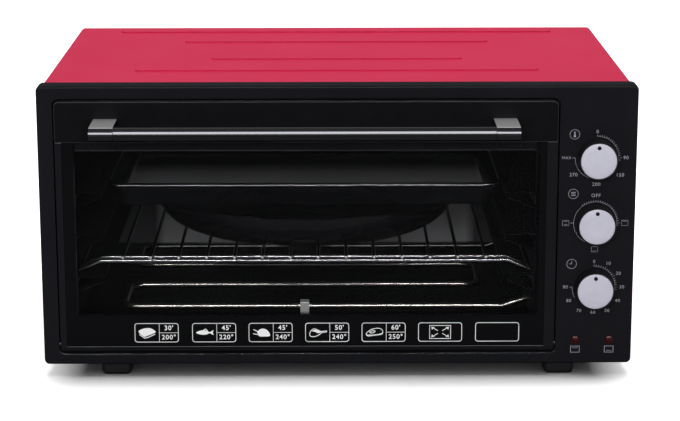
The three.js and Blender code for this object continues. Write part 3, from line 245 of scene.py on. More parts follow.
def spent(form, name):
    """The mesh that a bmesh holds; the bmesh itself goes."""
    mesh = bpy.data.meshes.new(name)
    form.to_mesh(mesh)
    form.free()
    return mesh


def set_out(form, name, materials, body, slot_name, *stands_for, sharp=crease):
    """Turns a bmesh into a finished piece that rides on a body. Its flats stay flat, its bends smooth."""
    mesh = spent(form, name)
    mesh.shade_smooth()
    mesh.set_sharp_from_angle(angle=sharp)
    for material in materials if isinstance(materials, tuple) else (materials,):
        mesh.materials.append(material)
    piece = placed(name, mesh)
    flats = piece.modifiers.new("flats", "WEIGHTED_NORMAL")
    flats.keep_sharp = True
    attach(piece, body)
    if stands_for:
        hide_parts(*stands_for)
    return piece


def eased(node_name, material, body, slot_name, edge=0.0004, edge_finish=None):
    """A finer copy of a plain solid: flats joined, sharp edges rounded, with their own finish if given."""
    form = bmesh.new()
    form.from_mesh(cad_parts[node_name].data)
    bmesh.ops.remove_doubles(form, verts=form.verts, dist=0.00001)
    bmesh.ops.dissolve_limit(form, angle_limit=math.radians(0.3), verts=form.verts, edges=form.edges)
    corners = [one for one in form.edges if one.is_manifold and one.calc_face_angle() > crease]
    bmesh.ops.bevel(form, geom=corners, offset=edge, segments=3, profile=0.5, affect="EDGES",
                    clamp_overlap=True, material=1 if edge_finish else -1)
    finishes = (material, edge_finish) if edge_finish else material
    return set_out(form, node_name + "_fine", finishes, body, slot_name, node_name)


def clouded(name, drift, tones, rough, skin=(), coat=(), **rest):
    """A finish whose colour, roughness and coat drift with one noise, or with their own if one is given."""
    finish = Finish(name)
    cloud = finish.noise(*drift)

    def drifting(least, more, *own):
        return least + (finish.noise(*own) if own else cloud) * more

    if skin:
        depth, *own = skin
        rest["Normal"] = finish.bumped(finish.noise(*own) if own else cloud, depth)
    if coat:
        rest["Coat_Weight"] = drifting(*coat)
    dark, light = ((*tone, 1) for tone in tones)
    return finish.surface(Base_Color=finish.mixed(cloud, dark, light), Roughness=drifting(*rough), **rest)


def black_enamel(name):
    return clouded(
        name, (26.0, 4.0), ((0.0092, 0.0094, 0.0116), (0.0124, 0.0126, 0.0154)), (0.32, 0.14, 75.0, 3.0),
        (0.00002, 420.0, 2.0), (0.025, 0.015), Specular_IOR_Level=0.0, Coat_Roughness=0.16)


polished_edge = clouded(
    "polished_edge", (90.0, 3.0), ((0.008, 0.008, 0.010), (0.014, 0.014, 0.017)), (0.16, 0.08),
    coat=(0.8, 0.2), IOR=2.4, Specular_IOR_Level=0.6, Coat_Roughness=0.1)
# Painted highlight: the door's rounded edges take a pale grey rough enamel that stands for the light lines
# along them.
painted_highlight_edge = clouded("painted_highlight_enamel", (120.0, 3.0), ((0.15, 0.15, 0.16), (0.21, 0.21, 0.22)), (0.5, 0.1),
                    Specular_IOR_Level=0.1)
eased("front_frame", black_enamel("frame_enamel"), "cabinet", "black_enamel", 0.0008, polished_edge)


# The cover: one steel sheet bent over the top and both sides, sprayed crimson and baked.
# Powder paint leaves a fine orange-peel skin; four pressed beads stiffen the top.
def repaint(piece, chosen):
    """Gives the faces that a test chooses the piece's second finish, and the others its first."""
    for face in piece.data.polygons:
        face.material_index = int(chosen(face))


crimson = clouded(
    "crimson_paint", (9.0, 3.0), ((0.545, 0.021, 0.070), (0.585, 0.026, 0.080)), (0.42, 0.1, 40.0, 3.0),
    (0.00002, 900.0, 2.0), (0.05, 0.04, 14.0, 3.0), Specular_IOR_Level=0.0, Coat_Roughness=0.22)
cover_low, cover_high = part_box("outer_cover")
cover = eased("outer_cover", crimson, "cabinet", "red_paint", 0.00035)
cover.data.materials.append(clouded(
    "bare_sheet", (160.0, 3.0, (1, 12, 1)), ((0.05, 0.05, 0.053), (0.09, 0.09, 0.095)), (0.5, 0.15),
    Metallic=0.6))
cover_heart = (cover_low + cover_high) / 2
repaint(cover, lambda face: face.center.x * face.normal.x
        + (face.center.z - cover_heart.z) * face.normal.z < -0.001)


# The plain steel sheets: aluminised steel, as it comes off the coil, with its fine rolled grain.
# They are the base plate, the rear panel, the door's liner and what stands behind the controls.
def steel(name, dark, light, rough=0.34, stretch=(1, 1, 14), metallic=0.85):
    metal = Finish(name)
    grain = metal.noise(140.0, 3.0, stretch)
    spangle = metal.cells(260.0)
    return metal.surface(
        Base_Color=metal.mixed(0.6 * grain + spangle * 0.5, dark, light),
        Metallic=metallic,
        Roughness=rough + 0.16 * grain,
        Normal=metal.bumped(grain, 0.00003))


def dressed(node_name, material):
    """Gives a solid whose own shape is right its finish."""
    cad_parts[node_name].data.materials.clear()
    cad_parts[node_name].data.materials.append(material)


sheet_steel = steel("aluminised_sheet", (0.30, 0.305, 0.31, 1), (0.46, 0.465, 0.47, 1))
for sheet, body in (("rear_panel", "cabinet"), ("base_plate", "cabinet"), ("door_liner", "door")):
    eased(sheet, sheet_steel, body, "grey_steel", 0.0002)
for hidden in ("control_bracket", "heat_shield", "timer_bell"):
    dressed(hidden, sheet_steel)


# The hot space: five sheets of dull dark enamelled steel, the side walls with three pressed ledges each.
# Heat has clouded the enamel; the back sheet is painted dark towards both sides, as painted shade.
wall_enamel = clouded("oven_enamel", (12.0, 4.0), ((0.002, 0.002, 0.0024), (0.006, 0.006, 0.007)),
                      (0.55, 0.2), (0.00002, 500.0, 2.0), Specular_IOR_Level=0.02)


def shaded_back_steel():
    """The back sheet, bright in the middle and painted dark towards both sides: painted shade."""
    metal = Finish("oven_back")
    low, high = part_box("cavity_back")
    middle, reach, fade = (low.x + high.x) / 2 + 0.009, 0.186, 0.012
    lit_middle = ((reach - abs(metal.along(0) - middle)) / fade).held()
    stain = metal.noise(30.0, 4.0)
    bright = metal.mixed(stain, (0.52, 0.52, 0.54, 1), (0.68, 0.68, 0.70, 1))
    return metal.surface(
        # Painted shade: the colour turns dark outside the sheet's middle band.
        Base_Color=metal.mixed(lit_middle, (0.10, 0.10, 0.11, 1), bright),
        Roughness=0.5 + stain * 0.2,
        Normal=metal.bumped(metal.noise(300.0, 2.0, (1, 1, 8)), 0.00002),
        Specular_IOR_Level=0.2)


for sheet in ("cavity_left_wall", "cavity_right_wall"):
    eased(sheet, wall_enamel, "cabinet", "grey_steel", 0.0002)
for sheet in ("cavity_ceiling", "cavity_floor"):
    dressed(sheet, wall_enamel)
dressed("cavity_back", shaded_back_steel())


# The heaters: steel tubes filled with magnesia, bent cold into four runs, with a stud at each end.
# First use turns them a dull straw grey in patches; the rear run is given a far brighter steel, painted light
# where little light reaches it.
def bent_route(corners, radii, steps=8):
    """Points along straight runs joined by round bends."""
    corners = [Vector(corner) for corner in corners]
    points = [corners[0]]
    for before, corner, after, radius in zip(corners, corners[1:], corners[2:], radii):
        inward = (corner - before).normalized()
        onward = (after - corner).normalized()
        turn = inward.angle(onward)
        entry = corner - inward * radius * math.tan(turn / 2)
        centre = corner + (onward - inward).normalized() * radius / math.cos(turn / 2)
        spoke = (entry - centre).normalized()
        for step in range(steps + 1):
            angle = turn * step / steps
            points.append(centre + (spoke * math.cos(angle) + inward * math.sin(angle)) * radius)
    return points + [corners[-1]]


def lofted(form, rings, finishes=(0,)):
    """Joins each ring to the next, a lone point as a pole, and closes both ends unless they are one ring."""
    for row, (near, far) in enumerate(zip(rings, rings[1:])):
        for at in range(max(len(near), len(far))):
            corners = [ring[place % len(ring)] for ring, place in (
                (near, at - 1), (near, at), (far, at), (far, at - 1))]
            form.faces.new(list(dict.fromkeys(corners))).material_index = finishes[row % len(finishes)]
    for ring, finish in ((rings[0][::-1], finishes[0]), (rings[-1], finishes[-1])):
        if len(ring) > 1 and rings[0] is not rings[-1]:
            form.faces.new(ring).material_index = finish
    bmesh.ops.recalc_face_normals(form, faces=form.faces)


def swept(form, points, radius, sides=16):
    """Adds a round bar along points, with domed ends, to a bmesh."""
    points = [Vector(point) for point in points]
    first = (points[1] - points[0]).normalized()
    last = (points[-1] - points[-2]).normalized()
    turns = [math.radians(angle) for angle in (20, 42, 65, 90)]
    stations = [(points[0] + first * radius * (1 - math.cos(a)), math.sin(a), first) for a in turns]
    for before, here, after in zip(points, points[1:], points[2:]):
        along = (here - before).normalized() + (after - here).normalized()
        stations.append((here, 1.0, along.normalized()))
    stations += [(points[-1] - last * radius * (1 - math.cos(a)), math.sin(a), last) for a in reversed(turns)]
    side = first.orthogonal().normalized()
    angles = [2 * math.pi * turn / sides for turn in range(sides)]
    rings = []
    for place, swell, along in stations:
        side = (side - along * side.dot(along)).normalized()
        over = along.cross(side)
        rings.append([form.verts.new(place + (side * math.cos(a) + over * math.sin(a)) * radius * swell)
                      for a in angles])
    lofted(form, rings)


sheath = clouded("heater_sheath", (22.0, 4.0), ((0.200, 0.196, 0.190), (0.155, 0.146, 0.132)), (0.17, 0.10),
                 (0.00002, 700.0, 2.0), Metallic=0.95)
painted_light_sheath = steel("painted_light_sheath", (0.86, 0.86, 0.87, 1), (0.95, 0.95, 0.96, 1), 0.16, metallic=1.0)
heater_radius = 0.00325
heater_bend = 0.016
heater_step_bend = 0.010
heater_step = 0.008
heater_reach = 0.006
heater_step_run = 0.0398
heater_wall_run = 0.0168
heater_right_run = 0.0598
stud_radius = 0.0016
stud_sunk = 0.002
for side, name in ((1, "heater_lower"), (-1, "heater_upper")):
    low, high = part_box(name)
    plane = (low.z if side > 0 else high.z) + side * heater_radius
    end_height = plane + side * heater_step
    left = low.x + heater_radius
    end = high.x - heater_reach
    outer = end - heater_step_run
    wall = end - heater_wall_run
    right = end - heater_right_run
    first_run = low.y + heater_radius
    last_run = high.y - heater_radius
    runs = [first_run + (last_run - first_run) * share / 3 for share in range(4)]
    corners = [
        (end, runs[0], end_height), (wall, runs[0], end_height), (outer, runs[0], plane),
        (left, runs[0], plane), (left, runs[1], plane), (right, runs[1], plane), (right, runs[2], plane),
        (left, runs[2], plane), (left, runs[3], plane), (outer, runs[3], plane),
        (wall, runs[3], end_height), (end, runs[3], end_height)]
    radii = [heater_step_bend] * 2 + [heater_bend] * 6 + [heater_step_bend] * 2
    form = bmesh.new()
    swept(form, bent_route(corners, radii), heater_radius)
    for run in (runs[0], runs[3]):
        swept(form, [(end - stud_sunk, run, end_height), (high.x, run, end_height)], stud_radius)
    tube = set_out(form, name + "_tube", (sheath, painted_light_sheath), "cabinet", "heater_steel", name)
    # Painted light: the rear run takes the far brighter steel.
    repaint(tube, lambda face: face.center.y > last_run - heater_radius)
clip_steel = steel("clip_steel", (0.66, 0.66, 0.67, 1), (0.84, 0.84, 0.85, 1), 0.3, metallic=0.25)
for clip in ("heater_lower_clip", "heater_upper_clip"):
    eased(clip, clip_steel, "cabinet", "heater_steel", 0.0004)


# The wire rack: drawn wire, welded and bright plated. Three rails dip at their ends to the side rails,
# and fourteen thinner wires run from front to rear on top of them.
plate = clouded("bright_plate", (300.0, 2.0, (1, 0.1, 1)), ((0.150, 0.150, 0.153), (0.110, 0.110, 0.113)),
                (0.12, 0.12), (0.00002,), Metallic=1.0)
rack_low, rack_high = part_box("wire_rack")
rail_radius = 0.0025
rack_wire_radius = 0.00175
rack_weld = 0.0004
rack_wire_count = 14
rack_end_run = 0.022
rack_second_rail = 0.015
rack_bend = 0.006
rack_wire_inset = 0.044
rack_left, rack_right = rack_low.x + rail_radius, rack_high.x - rail_radius
rack_front, rack_rear = rack_low.y + rail_radius, rack_high.y - rail_radius
rack_end_height = rack_low.z + rail_radius
rack_wire_height = rack_high.z - rack_wire_radius
rack_height = rack_wire_height - rack_wire_radius - rail_radius + rack_weld


def pattern_tree(name, material, sockets, laid):
    """A geometry tree that sets the piece it sits on at the points and turns that laid() works out."""
    tree = bpy.data.node_groups.new(name, "GeometryNodeTree")
    for socket, kind in {"Piece": "Geometry", **sockets}.items():
        tree.interface.new_socket(socket, in_out="INPUT", socket_type="NodeSocket" + kind)
    tree.interface.new_socket("Pattern", in_out="OUTPUT", socket_type="NodeSocketGeometry")
    recipe = Recipe(tree)
    given = list(tree.nodes.new("NodeGroupInput").outputs)[:len(sockets) + 1]
    piece, *values = [Value(recipe, socket) for socket in given]
    points, turn = laid(recipe, *values)
    copies = recipe.node("GeometryNodeInstanceOnPoints", {}, {
        "Points": points, "Instance": piece, "Rotation": turn})
    real = recipe.node("GeometryNodeRealizeInstances", {}, {"Geometry": copies})
    painted = recipe.node("GeometryNodeSetMaterial", {}, {"Geometry": real, "Material": material})
    tree.links.new(painted.socket, tree.nodes.new("NodeGroupOutput").inputs["Pattern"])
    return tree


def baked(thing):
    """The plain mesh that an object's modifiers or letters make; the object goes."""
    bpy.context.view_layer.update()
    mesh = bpy.data.meshes.new_from_object(thing.evaluated_get(bpy.context.evaluated_depsgraph_get()))
    thing.modifiers.clear()
    bpy.data.objects.remove(thing)
    return mesh


def repeated(form, name, tree, inputs):
    """Repeats a bmesh by a geometry tree and gives the pattern back as a bmesh; the first is spent."""
    piece = placed(name, spent(form, name))
    modifier = piece.modifiers.new("pattern", "NODES")
    modifier.node_group = tree
    for item in tree.interface.items_tree:
        if item.item_type == "SOCKET" and item.in_out == "INPUT" and item.name in inputs:
            modifier[item.identifier] = inputs[item.name]
    made = baked(piece)
    form = bmesh.new()
    form.from_mesh(made)
    bpy.data.meshes.remove(made)
    return form


def gather(form, other):
    """Adds one bmesh to another; the other is spent."""
    mesh = spent(other, "gathered")
    form.from_mesh(mesh)
    bpy.data.meshes.remove(mesh)


def in_row(recipe, start, end, count):
    ends = {"Start Location": start, "Offset": end, "Count": count}
    return recipe.node("GeometryNodeMeshLine", {"mode": "END_POINTS"}, ends), (0, 0, 0)


def row_of(form, name, material, start, end, count):
    """Repeats a bmesh in a row from start to end and gives the row back as a bmesh."""
    tree = pattern_tree(name + "_row", material, {"Start": "Vector", "End": "Vector", "Count": "Int"}, in_row)
    return repeated(form, name, tree, {"Start": start, "End": end, "Count": count})


wire = bmesh.new()
swept(wire, [(0, rack_low.y, rack_wire_height), (0, rack_high.y, rack_wire_height)], rack_wire_radius, 12)
rack = row_of(wire, "rack_wires", plate, (rack_left + rack_wire_inset, 0, 0),
              (rack_right - rack_wire_inset, 0, 0), rack_wire_count)
for depth in (rack_front, rack_front + rack_second_rail, rack_rear):
    rail = [(rack_left, depth, rack_end_height), (rack_left + rack_end_run, depth, rack_height),
            (rack_right - rack_end_run, depth, rack_height), (rack_right, depth, rack_end_height)]
    swept(rack, bent_route(rail, [rack_bend] * 2), rail_radius)
for across in (rack_left, rack_right):
    swept(rack, [(across, rack_low.y, rack_end_height), (across, rack_high.y, rack_end_height)], rail_radius)
# Painted highlight: the wires' front tips take a pale, nearly white finish that stands for their glints.
painted_glint_tip = steel("painted_glint_tip", (0.80, 0.80, 0.81, 1), (0.92, 0.92, 0.93, 1), 0.3, metallic=0.1)
wires = set_out(rack, "rack_of_wires", (plate, painted_glint_tip), "rack", "bright_wire", "wire_rack")
repaint(wires, lambda face: face.center.y < rack_low.y + rack_wire_radius * 0.3
        and face.center.z > rack_wire_height - rack_wire_radius * 0.8)


# The baking tray and the round pan: thin drawn steel under dark enamel, their rims rolled.
# The tray hangs by its rim on the upper ledges; the pan stands on the rack.
def fired_enamel():
    coat = Finish("dark_enamel")
    fleck = coat.cells(520.0)
    cloud = coat.noise(18.0, 4.0)
    tint = (cloud + (fleck < 0.1) * 0.2).held()
    return coat.surface(
        Base_Color=coat.mixed(tint, (0.003, 0.003, 0.004, 1), (0.006, 0.006, 0.008, 1)),
        Roughness=0.12 + coat.noise(60.0, 3.0) * 0.1,
        Normal=coat.bumped(coat.noise(240.0, 2.0), 0.00002),
        Specular_IOR_Level=0.1,
        Coat_Weight=0.08 + cloud * 0.08)


def tray_floor_light_and_shade(front, rear):
    """The tray's floor, painted light grey in front and painted dark towards the rear: painted light and
    painted shade.
    """
    coat = Finish("tray_floor_light_and_shade")
    # Painted shade: the floor darkens towards the rear; the lighter grey in front is painted light.
    baked = ((coat.along(1) - front) / (rear - front)).held()
    cloud = coat.noise(18.0, 4.0)
    painted_lit_grey = coat.mixed(cloud, (0.29, 0.29, 0.30, 1), (0.38, 0.38, 0.39, 1))
    return coat.surface(
        Base_Color=coat.mixed(baked, painted_lit_grey, (0.02, 0.02, 0.022, 1)),
        Roughness=0.4 + coat.noise(60.0, 3.0) * 0.1,
        Normal=coat.bumped(coat.noise(240.0, 2.0), 0.00002),
        Specular_IOR_Level=0.1)


dark_enamel = fired_enamel()
rim_steel = steel("rim_steel", (0.05, 0.05, 0.052, 1), (0.08, 0.08, 0.082, 1), 0.16, metallic=1.0)
tray_low, tray_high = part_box("baking_tray")
painted_tray_floor = tray_floor_light_and_shade(tray_low.y + 0.165, tray_low.y + 0.215)
tray_sheet = 0.001
tray_corner = 0.030
tray_rim = 0.0095
tray_flare = 0.010
tray_floor_round = 0.005


def rounded_ring(form, low, high, inset, height, corner, steps=8):
    """A ring of points round a rounded oblong, drawn in by an inset."""
    ring = []
    radius = max(corner - inset, 0.001)
    right, rear = high.x - inset - radius, high.y - inset - radius
    left, front = low.x + inset + radius, low.y + inset + radius
    centres = [(right, rear), (left, rear), (left, front), (right, front)]
    for quarter, (across, depth) in enumerate(centres):
        for step in range(steps + 1):
            angle = math.pi / 2 * (quarter + step / steps)
            place = (across + radius * math.cos(angle), depth + radius * math.sin(angle), height)
            ring.append(form.verts.new(place))
    return ring


tray_top = tray_high.z
tray_bottom = tray_low.z
tray_under = tray_top - tray_sheet
floor_inset = tray_rim + tray_flare
tray = bmesh.new()
outer_skin = [(floor_inset + tray_floor_round, tray_bottom), (floor_inset + 0.0015, tray_bottom + 0.0008),
              (floor_inset, tray_bottom + 0.003), (tray_rim + 0.0012, tray_under - 0.0022),
              (tray_rim - 0.0012, tray_under), (0.0004, tray_under), (0.0, tray_under + tray_sheet * 0.25)]
inner_skin = [(0.0002, tray_top - tray_sheet * 0.25), (0.0008, tray_top),
              (tray_rim - 0.0004, tray_top), (tray_rim + 0.0022, tray_top - 0.002),
              (floor_inset + 0.001, tray_bottom + 0.0038), (floor_inset + 0.0025, tray_bottom + 0.0018),
              (floor_inset + tray_floor_round + 0.001, tray_bottom + tray_sheet)]
tray_finishes = [0] * (len(outer_skin) - 2) + [1, 1, 1] + [0] * 3 + [2, 2]
lofted(tray, [rounded_ring(tray, tray_low, tray_high, inset, height, tray_corner)
              for inset, height in outer_skin + inner_skin], tray_finishes)
tray_coats = (dark_enamel, rim_steel, painted_tray_floor)
set_out(tray, "enamelled_tray", tray_coats, "tray", "dark_enamel", "baking_tray")


def turned(form, profile, centre, axis="Y", sides=96):
    """Adds a turned solid to a bmesh. Its profile runs from the axis and back, in radius and place along."""
    rings = []
    for radius, along in profile:
        ring = []
        for at in range(sides if radius else 1):
            turn = 2 * math.pi * at / sides
            across, up = radius * math.cos(turn), radius * math.sin(turn)
            offset = (across, along, up) if axis == "Y" else (across, up, along)
            ring.append(form.verts.new(centre + Vector(offset)))
        rings.append(ring)
    lofted(form, rings)


pan_low, pan_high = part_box("round_pan")
pan_centre = Vector(((pan_low.x + pan_high.x) / 2, (pan_low.y + pan_high.y) / 2, pan_low.z))
pan_radius = (pan_high.x - pan_low.x) / 2
pan_height = pan_high.z - pan_low.z
pan_rim = 0.005
pan_wall_run = 0.042
pan_sheet = 0.0012
pan_base = pan_radius - pan_rim - pan_wall_run
pan_steps = 12
under = []
inside = []
for step in range(pan_steps + 1):
    angle = math.pi / 2 * step / pan_steps
    reach = pan_wall_run * math.sin(angle)
    climb = 1 - math.cos(angle)
    under.append((pan_base + reach, (pan_height - pan_sheet) * climb))
    inside.append((pan_base - pan_sheet + reach, pan_sheet + (pan_height - pan_sheet) * climb))
rolled = [(pan_radius - 0.0006, pan_height - pan_sheet), (pan_radius, pan_height - pan_sheet / 2),
          (pan_radius - 0.0006, pan_height)]
pan = bmesh.new()
turned(pan, [(0, 0)] + under + rolled + inside[::-1] + [(0, pan_sheet)], pan_centre, "Z", 128)
set_out(pan, "enamelled_pan", dark_enamel, "rack", "dark_enamel", "round_pan")


# The door: a pressed black frame hinged at its foot, a plastic trim across its top that takes the handle,
# and two panes. The outer pane is grey tinted, with a black border printed round the window.
def tinted_pane():
    pane = Finish("tinted_pane")
    low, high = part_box("door_glass_inner")
    border, fade, foot_border = 0.0035, 0.004, 0.022
    window_low = Vector((low.x + border, 0, low.z + foot_border))
    window_high = Vector((high.x - border, 0, high.z + fade))
    middle = (window_low + window_high) / 2
    reach = (window_high - window_low) / 2
    sideways = ((reach.x - abs(pane.along(0) - middle.x)) / fade).held()
    upright = ((reach.z - abs(pane.along(2) - middle.z)) / fade).held()
    smear = pane.noise(14.0, 5.0)
    return pane.surface(
        Base_Color=(0.0036, 0.0036, 0.0044, 1),
        Roughness=0.05 + smear * 0.05,
        Alpha=1 - sideways * upright * (0.92 - smear * 0.03),
        Specular_IOR_Level=0.04)


def clear_pane():
    pane = Finish("clear_pane")
    smear = pane.noise(11.0, 5.0)
    return pane.surface(
        Base_Color=(0.02, 0.022, 0.022, 1),
        Roughness=0.04 + smear * 0.05,
        Alpha=0.04 + smear * 0.04,
        Specular_IOR_Level=0.3)


pressed = eased("door_frame", black_enamel("door_enamel"), "door", "black_enamel", 0.0005, painted_highlight_edge)
# The door frame's side faces go back to the plain enamel, which leaves the painted highlight on its upper and
# lower edges.
for face in pressed.data.polygons:
    if abs(face.normal.x) > 0.2:
        face.material_index = 0


def black_moulding(name, rough, depth=1.0, sheen=0.1):
    dark, light = ([tone * depth for tone in tones] for tones in (
        (0.0046, 0.0046, 0.0054), (0.0066, 0.0066, 0.0076)))
    return clouded(name, (60.0, 3.0), (dark, light), (rough, 0.12), (0.00002, 1500.0, 2.0),
                   Specular_IOR_Level=sheen)


trim_black = black_moulding("trim_moulding", 0.3, 0.95, 0.02)
# The trim's rounded edges take the same painted highlight.
eased("door_top_trim", trim_black, "door", "black_plastic", 0.0005, painted_highlight_edge)
dressed("door_glass_outer", tinted_pane())
dressed("door_glass_inner", clear_pane())


# The handle: a chromed steel bar of rounded section between two end blocks, held from inside
# the door by a screw through each block. The blocks are chromed like the bar but for their upward faces,
# which take a lighter satin as painted light from above.
bar_chrome = clouded("handle_chrome", (90.0, 2.0, (0.05, 1, 1)), (
    (0.024, 0.024, 0.026), (0.018, 0.018, 0.020)), (0.10, 0.05), (0.00001,), Metallic=1.0)
satin = clouded("satin_metal", (420.0, 3.0, (0.08, 1, 1)), ((0.42, 0.42, 0.425), (0.36, 0.36, 0.365)),
                (0.26, 0.10), (0.00002,), Metallic=0.5)
bar_low, bar_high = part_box("handle_bar")
bar_round = 0.005
bar_wall = 0.0016
bar_lip = 0.0003
bar_front = [(0.0065, 150), (0.012, 165), (0.004, 180)]


def outward(degrees):
    return Vector((math.cos(math.radians(degrees)), math.sin(math.radians(degrees))))


def bar_face(degrees):
    """A point on the bar's upper front, in depth and height, where its surface looks along an angle."""
    nose, end = bar_front[-1]
    offsets = Vector((0, 0))
    for (upper, turn), (lower, _) in zip(bar_front, bar_front[1:]):
        offsets += outward(turn) * (lower - upper)
    centre = Vector((bar_low.y + nose, bar_high.z - bar_front[0][0] - offsets.y))
    for (radius, turn), (above, until) in zip(bar_front[::-1], bar_front[-2::-1] + [(0, 90)]):
        if degrees >= until or above == 0:
            return centre + outward(degrees) * radius
        centre += outward(until) * (radius - above)


def bar_section(inset, full, steps=16):
    """Points round the bar's hollow section; the full one swells out to its nearly flat front."""
    points = []
    radius = bar_round - inset
    low, high = bar_low.yz + Vector((inset, inset)), bar_high.yz - Vector((inset, inset))
    centres = [(high.x - radius, high.y - radius), (low.x + radius, high.y - radius),
               (low.x + radius, low.y + radius), (high.x - radius, low.y + radius)]
    for quarter, centre in enumerate(centres):
        for step in range(steps + 1):
            degrees = 90 * (quarter + step / steps)
            if full and quarter == 1:
                points.append(bar_face(degrees) - outward(degrees) * inset)
            else:
                points.append(Vector(centre) + outward(degrees) * radius)
    return points


bar = bmesh.new()
rings = []
for across, inset, full in (
        (bar_low.x, bar_lip, True), (bar_low.x + bar_lip, 0, True), (bar_high.x - bar_lip, 0, True),
        (bar_high.x, bar_lip, True), (bar_high.x, bar_wall, False), (bar_low.x, bar_wall, False)):
    rings.append([bar.verts.new((across, depth, up)) for depth, up in bar_section(inset, full)])
lofted(bar, rings + rings[:1])
set_out(bar, "handle_tube", bar_chrome, "door", "chrome", "handle_bar")
round_centre = Vector((bar_low.y + bar_round, bar_high.z - bar_round))
for end in ("handle_end_left", "handle_end_right"):
    block = eased(end, satin, "door", "satin_metal", 0.0006)
    block.data.materials.append(bar_chrome)
    for point in block.data.vertices:
        spoke = point.co.yz - round_centre
        if spoke.x < 0.00001 and spoke.y > -0.00001 and spoke.length > bar_round * 0.8:
            degrees = math.degrees(math.atan2(max(spoke.y, 0), min(spoke.x, 0)))
            point.co.yz = bar_face(degrees) - outward(degrees) * (bar_round - spoke.length)
    # Painted light: only the blocks' upward faces keep the lighter satin; the rest take the bar's chrome.
    repaint(block, lambda face: face.normal.z <= 0.97)
for screw in ("handle_screw_left", "handle_screw_right"):
    dressed(screw, satin)


# The door's hinges: a steel pin at each foot corner, a bent arm that stops the open door, and a leaf
# spring that holds it shut. They stand between the door and the cover, out of sight when it is shut.
pin_steel = steel("blued_steel", (0.016, 0.017, 0.020, 1), (0.034, 0.035, 0.040, 1), 0.4)
for hinge in ("hinge_pin_left", "hinge_pin_right", "hinge_spring_left", "hinge_spring_right"):
    dressed(hinge, pin_steel)
for arm in ("hinge_arm_left", "hinge_arm_right"):
    eased(arm, sheet_steel, "door", "grey_steel", 0.0002)


# The controls: each knob is a black moulded skirt with a silver lacquered cap let into its face,
# and a black dot on the cap shows where it points.
def silver_lacquer():
    coat = Finish("silver_lacquer")
    flake = coat.cells(2600.0)
    cloud = coat.noise(70.0, 2.0)
    return coat.surface(
        Base_Color=coat.mixed(cloud * 0.6 + flake * 0.7, (0.64, 0.63, 0.72, 1), (0.45, 0.44, 0.52, 1)),
        Metallic=0.1,
        Roughness=0.44 + flake * 0.2,
        Normal=coat.bumped(flake, 0.00001),
        Specular_IOR_Level=0.12)


knob_black = black_moulding("knob_moulding", 0.34)
lacquer = silver_lacquer()
cap_dome = 0.0006
cap_seat = 0.0025
knob_lip = 0.0020
knob_taper = 0.0008
knob_hub = 0.0065
knob_bore = 0.0033
dot_radius = 0.0020
dot_share = 0.68
dot_proud = 0.00005


def round_box(name):
    """The middle on the face, the radius, the front and the rear of a round piece that faces front."""
    low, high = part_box(name)
    return Vector(((low.x + high.x) / 2, 0, (low.z + high.z) / 2)), (high.x - low.x) / 2, low.y, high.y


controls = ("thermostat", "function", "timer")
for name in controls:
    body = name + "_control"
    centre, radius, front, rear = round_box(name + "_knob")
    seat = front + cap_seat
    hollow = seat + knob_lip
    skirt = [
        (0, seat), (radius - knob_lip + 0.0001, seat), (radius - knob_lip + 0.0002, front + 0.0004),
        (radius - 0.0014, front), (radius - knob_taper - 0.0002, front + 0.0002),
        (radius - knob_taper + 0.0001, front + 0.0008), (radius - 0.0001, rear - 0.0008),
        (radius - 0.0004, rear), (radius - knob_lip, rear), (radius - knob_lip, hollow),
        (knob_hub, hollow), (knob_hub - 0.0002, rear - 0.0006), (knob_bore, rear - 0.0006),
        (knob_bore, seat + 0.0012), (0, seat + 0.0012)]
    knob = bmesh.new()
    turned(knob, skirt, centre)
    set_out(knob, name + "_skirt", knob_black, body, "knob_black", name + "_knob")
    _, cap_radius, cap_front, cap_rear = round_box(name + "_knob_cap")
    crown = [(0, cap_front)]
    for share in (0.25, 0.5, 0.7, 0.82, 0.9, 0.95):
        crown.append((cap_radius * share, cap_front + cap_dome * share ** 4))
    crown += [(cap_radius - 0.0003, cap_front + cap_dome * 1.1), (cap_radius, cap_front + cap_dome * 1.8),
              (cap_radius, cap_rear), (0, cap_rear)]
    cap = bmesh.new()
    turned(cap, crown, centre)
    set_out(cap, name + "_face", lacquer, body, "knob_silver", name + "_knob_cap")
    dot_front = cap_front - dot_proud
    dot = bmesh.new()
    turned(dot, [(0, dot_front), (dot_radius * 0.9, dot_front), (dot_radius, dot_front + 0.0001),
                 (dot_radius, cap_front + 0.0008), (0, cap_front + 0.0008)],
           centre + Vector((0, 0, radius * dot_share)), sides=32)
    set_out(dot, name + "_dot", knob_black, body, "knob_black")
    dressed(name + "_shaft", satin)


# What the knobs turn: the thermostat, the function switch and the timer, moulded in brown phenolic and
# screwed to a steel bracket. A thin copper tube runs from the thermostat into the hot space.
phenolic = clouded("brown_phenolic", (50.0, 5.0), ((0.035, 0.018, 0.010), (0.075, 0.042, 0.026)), (0.38, 0.2),
                   (0.00003, 900.0, 2.0))
for name in controls:
    eased(name + "_body", phenolic, "cabinet", "phenolic", 0.0005)
dressed("thermostat_capillary", clouded(
    "drawn_copper", (120.0, 4.0), ((0.62, 0.24, 0.12), (0.36, 0.13, 0.07)), (0.24, 0.2), Metallic=1.0))


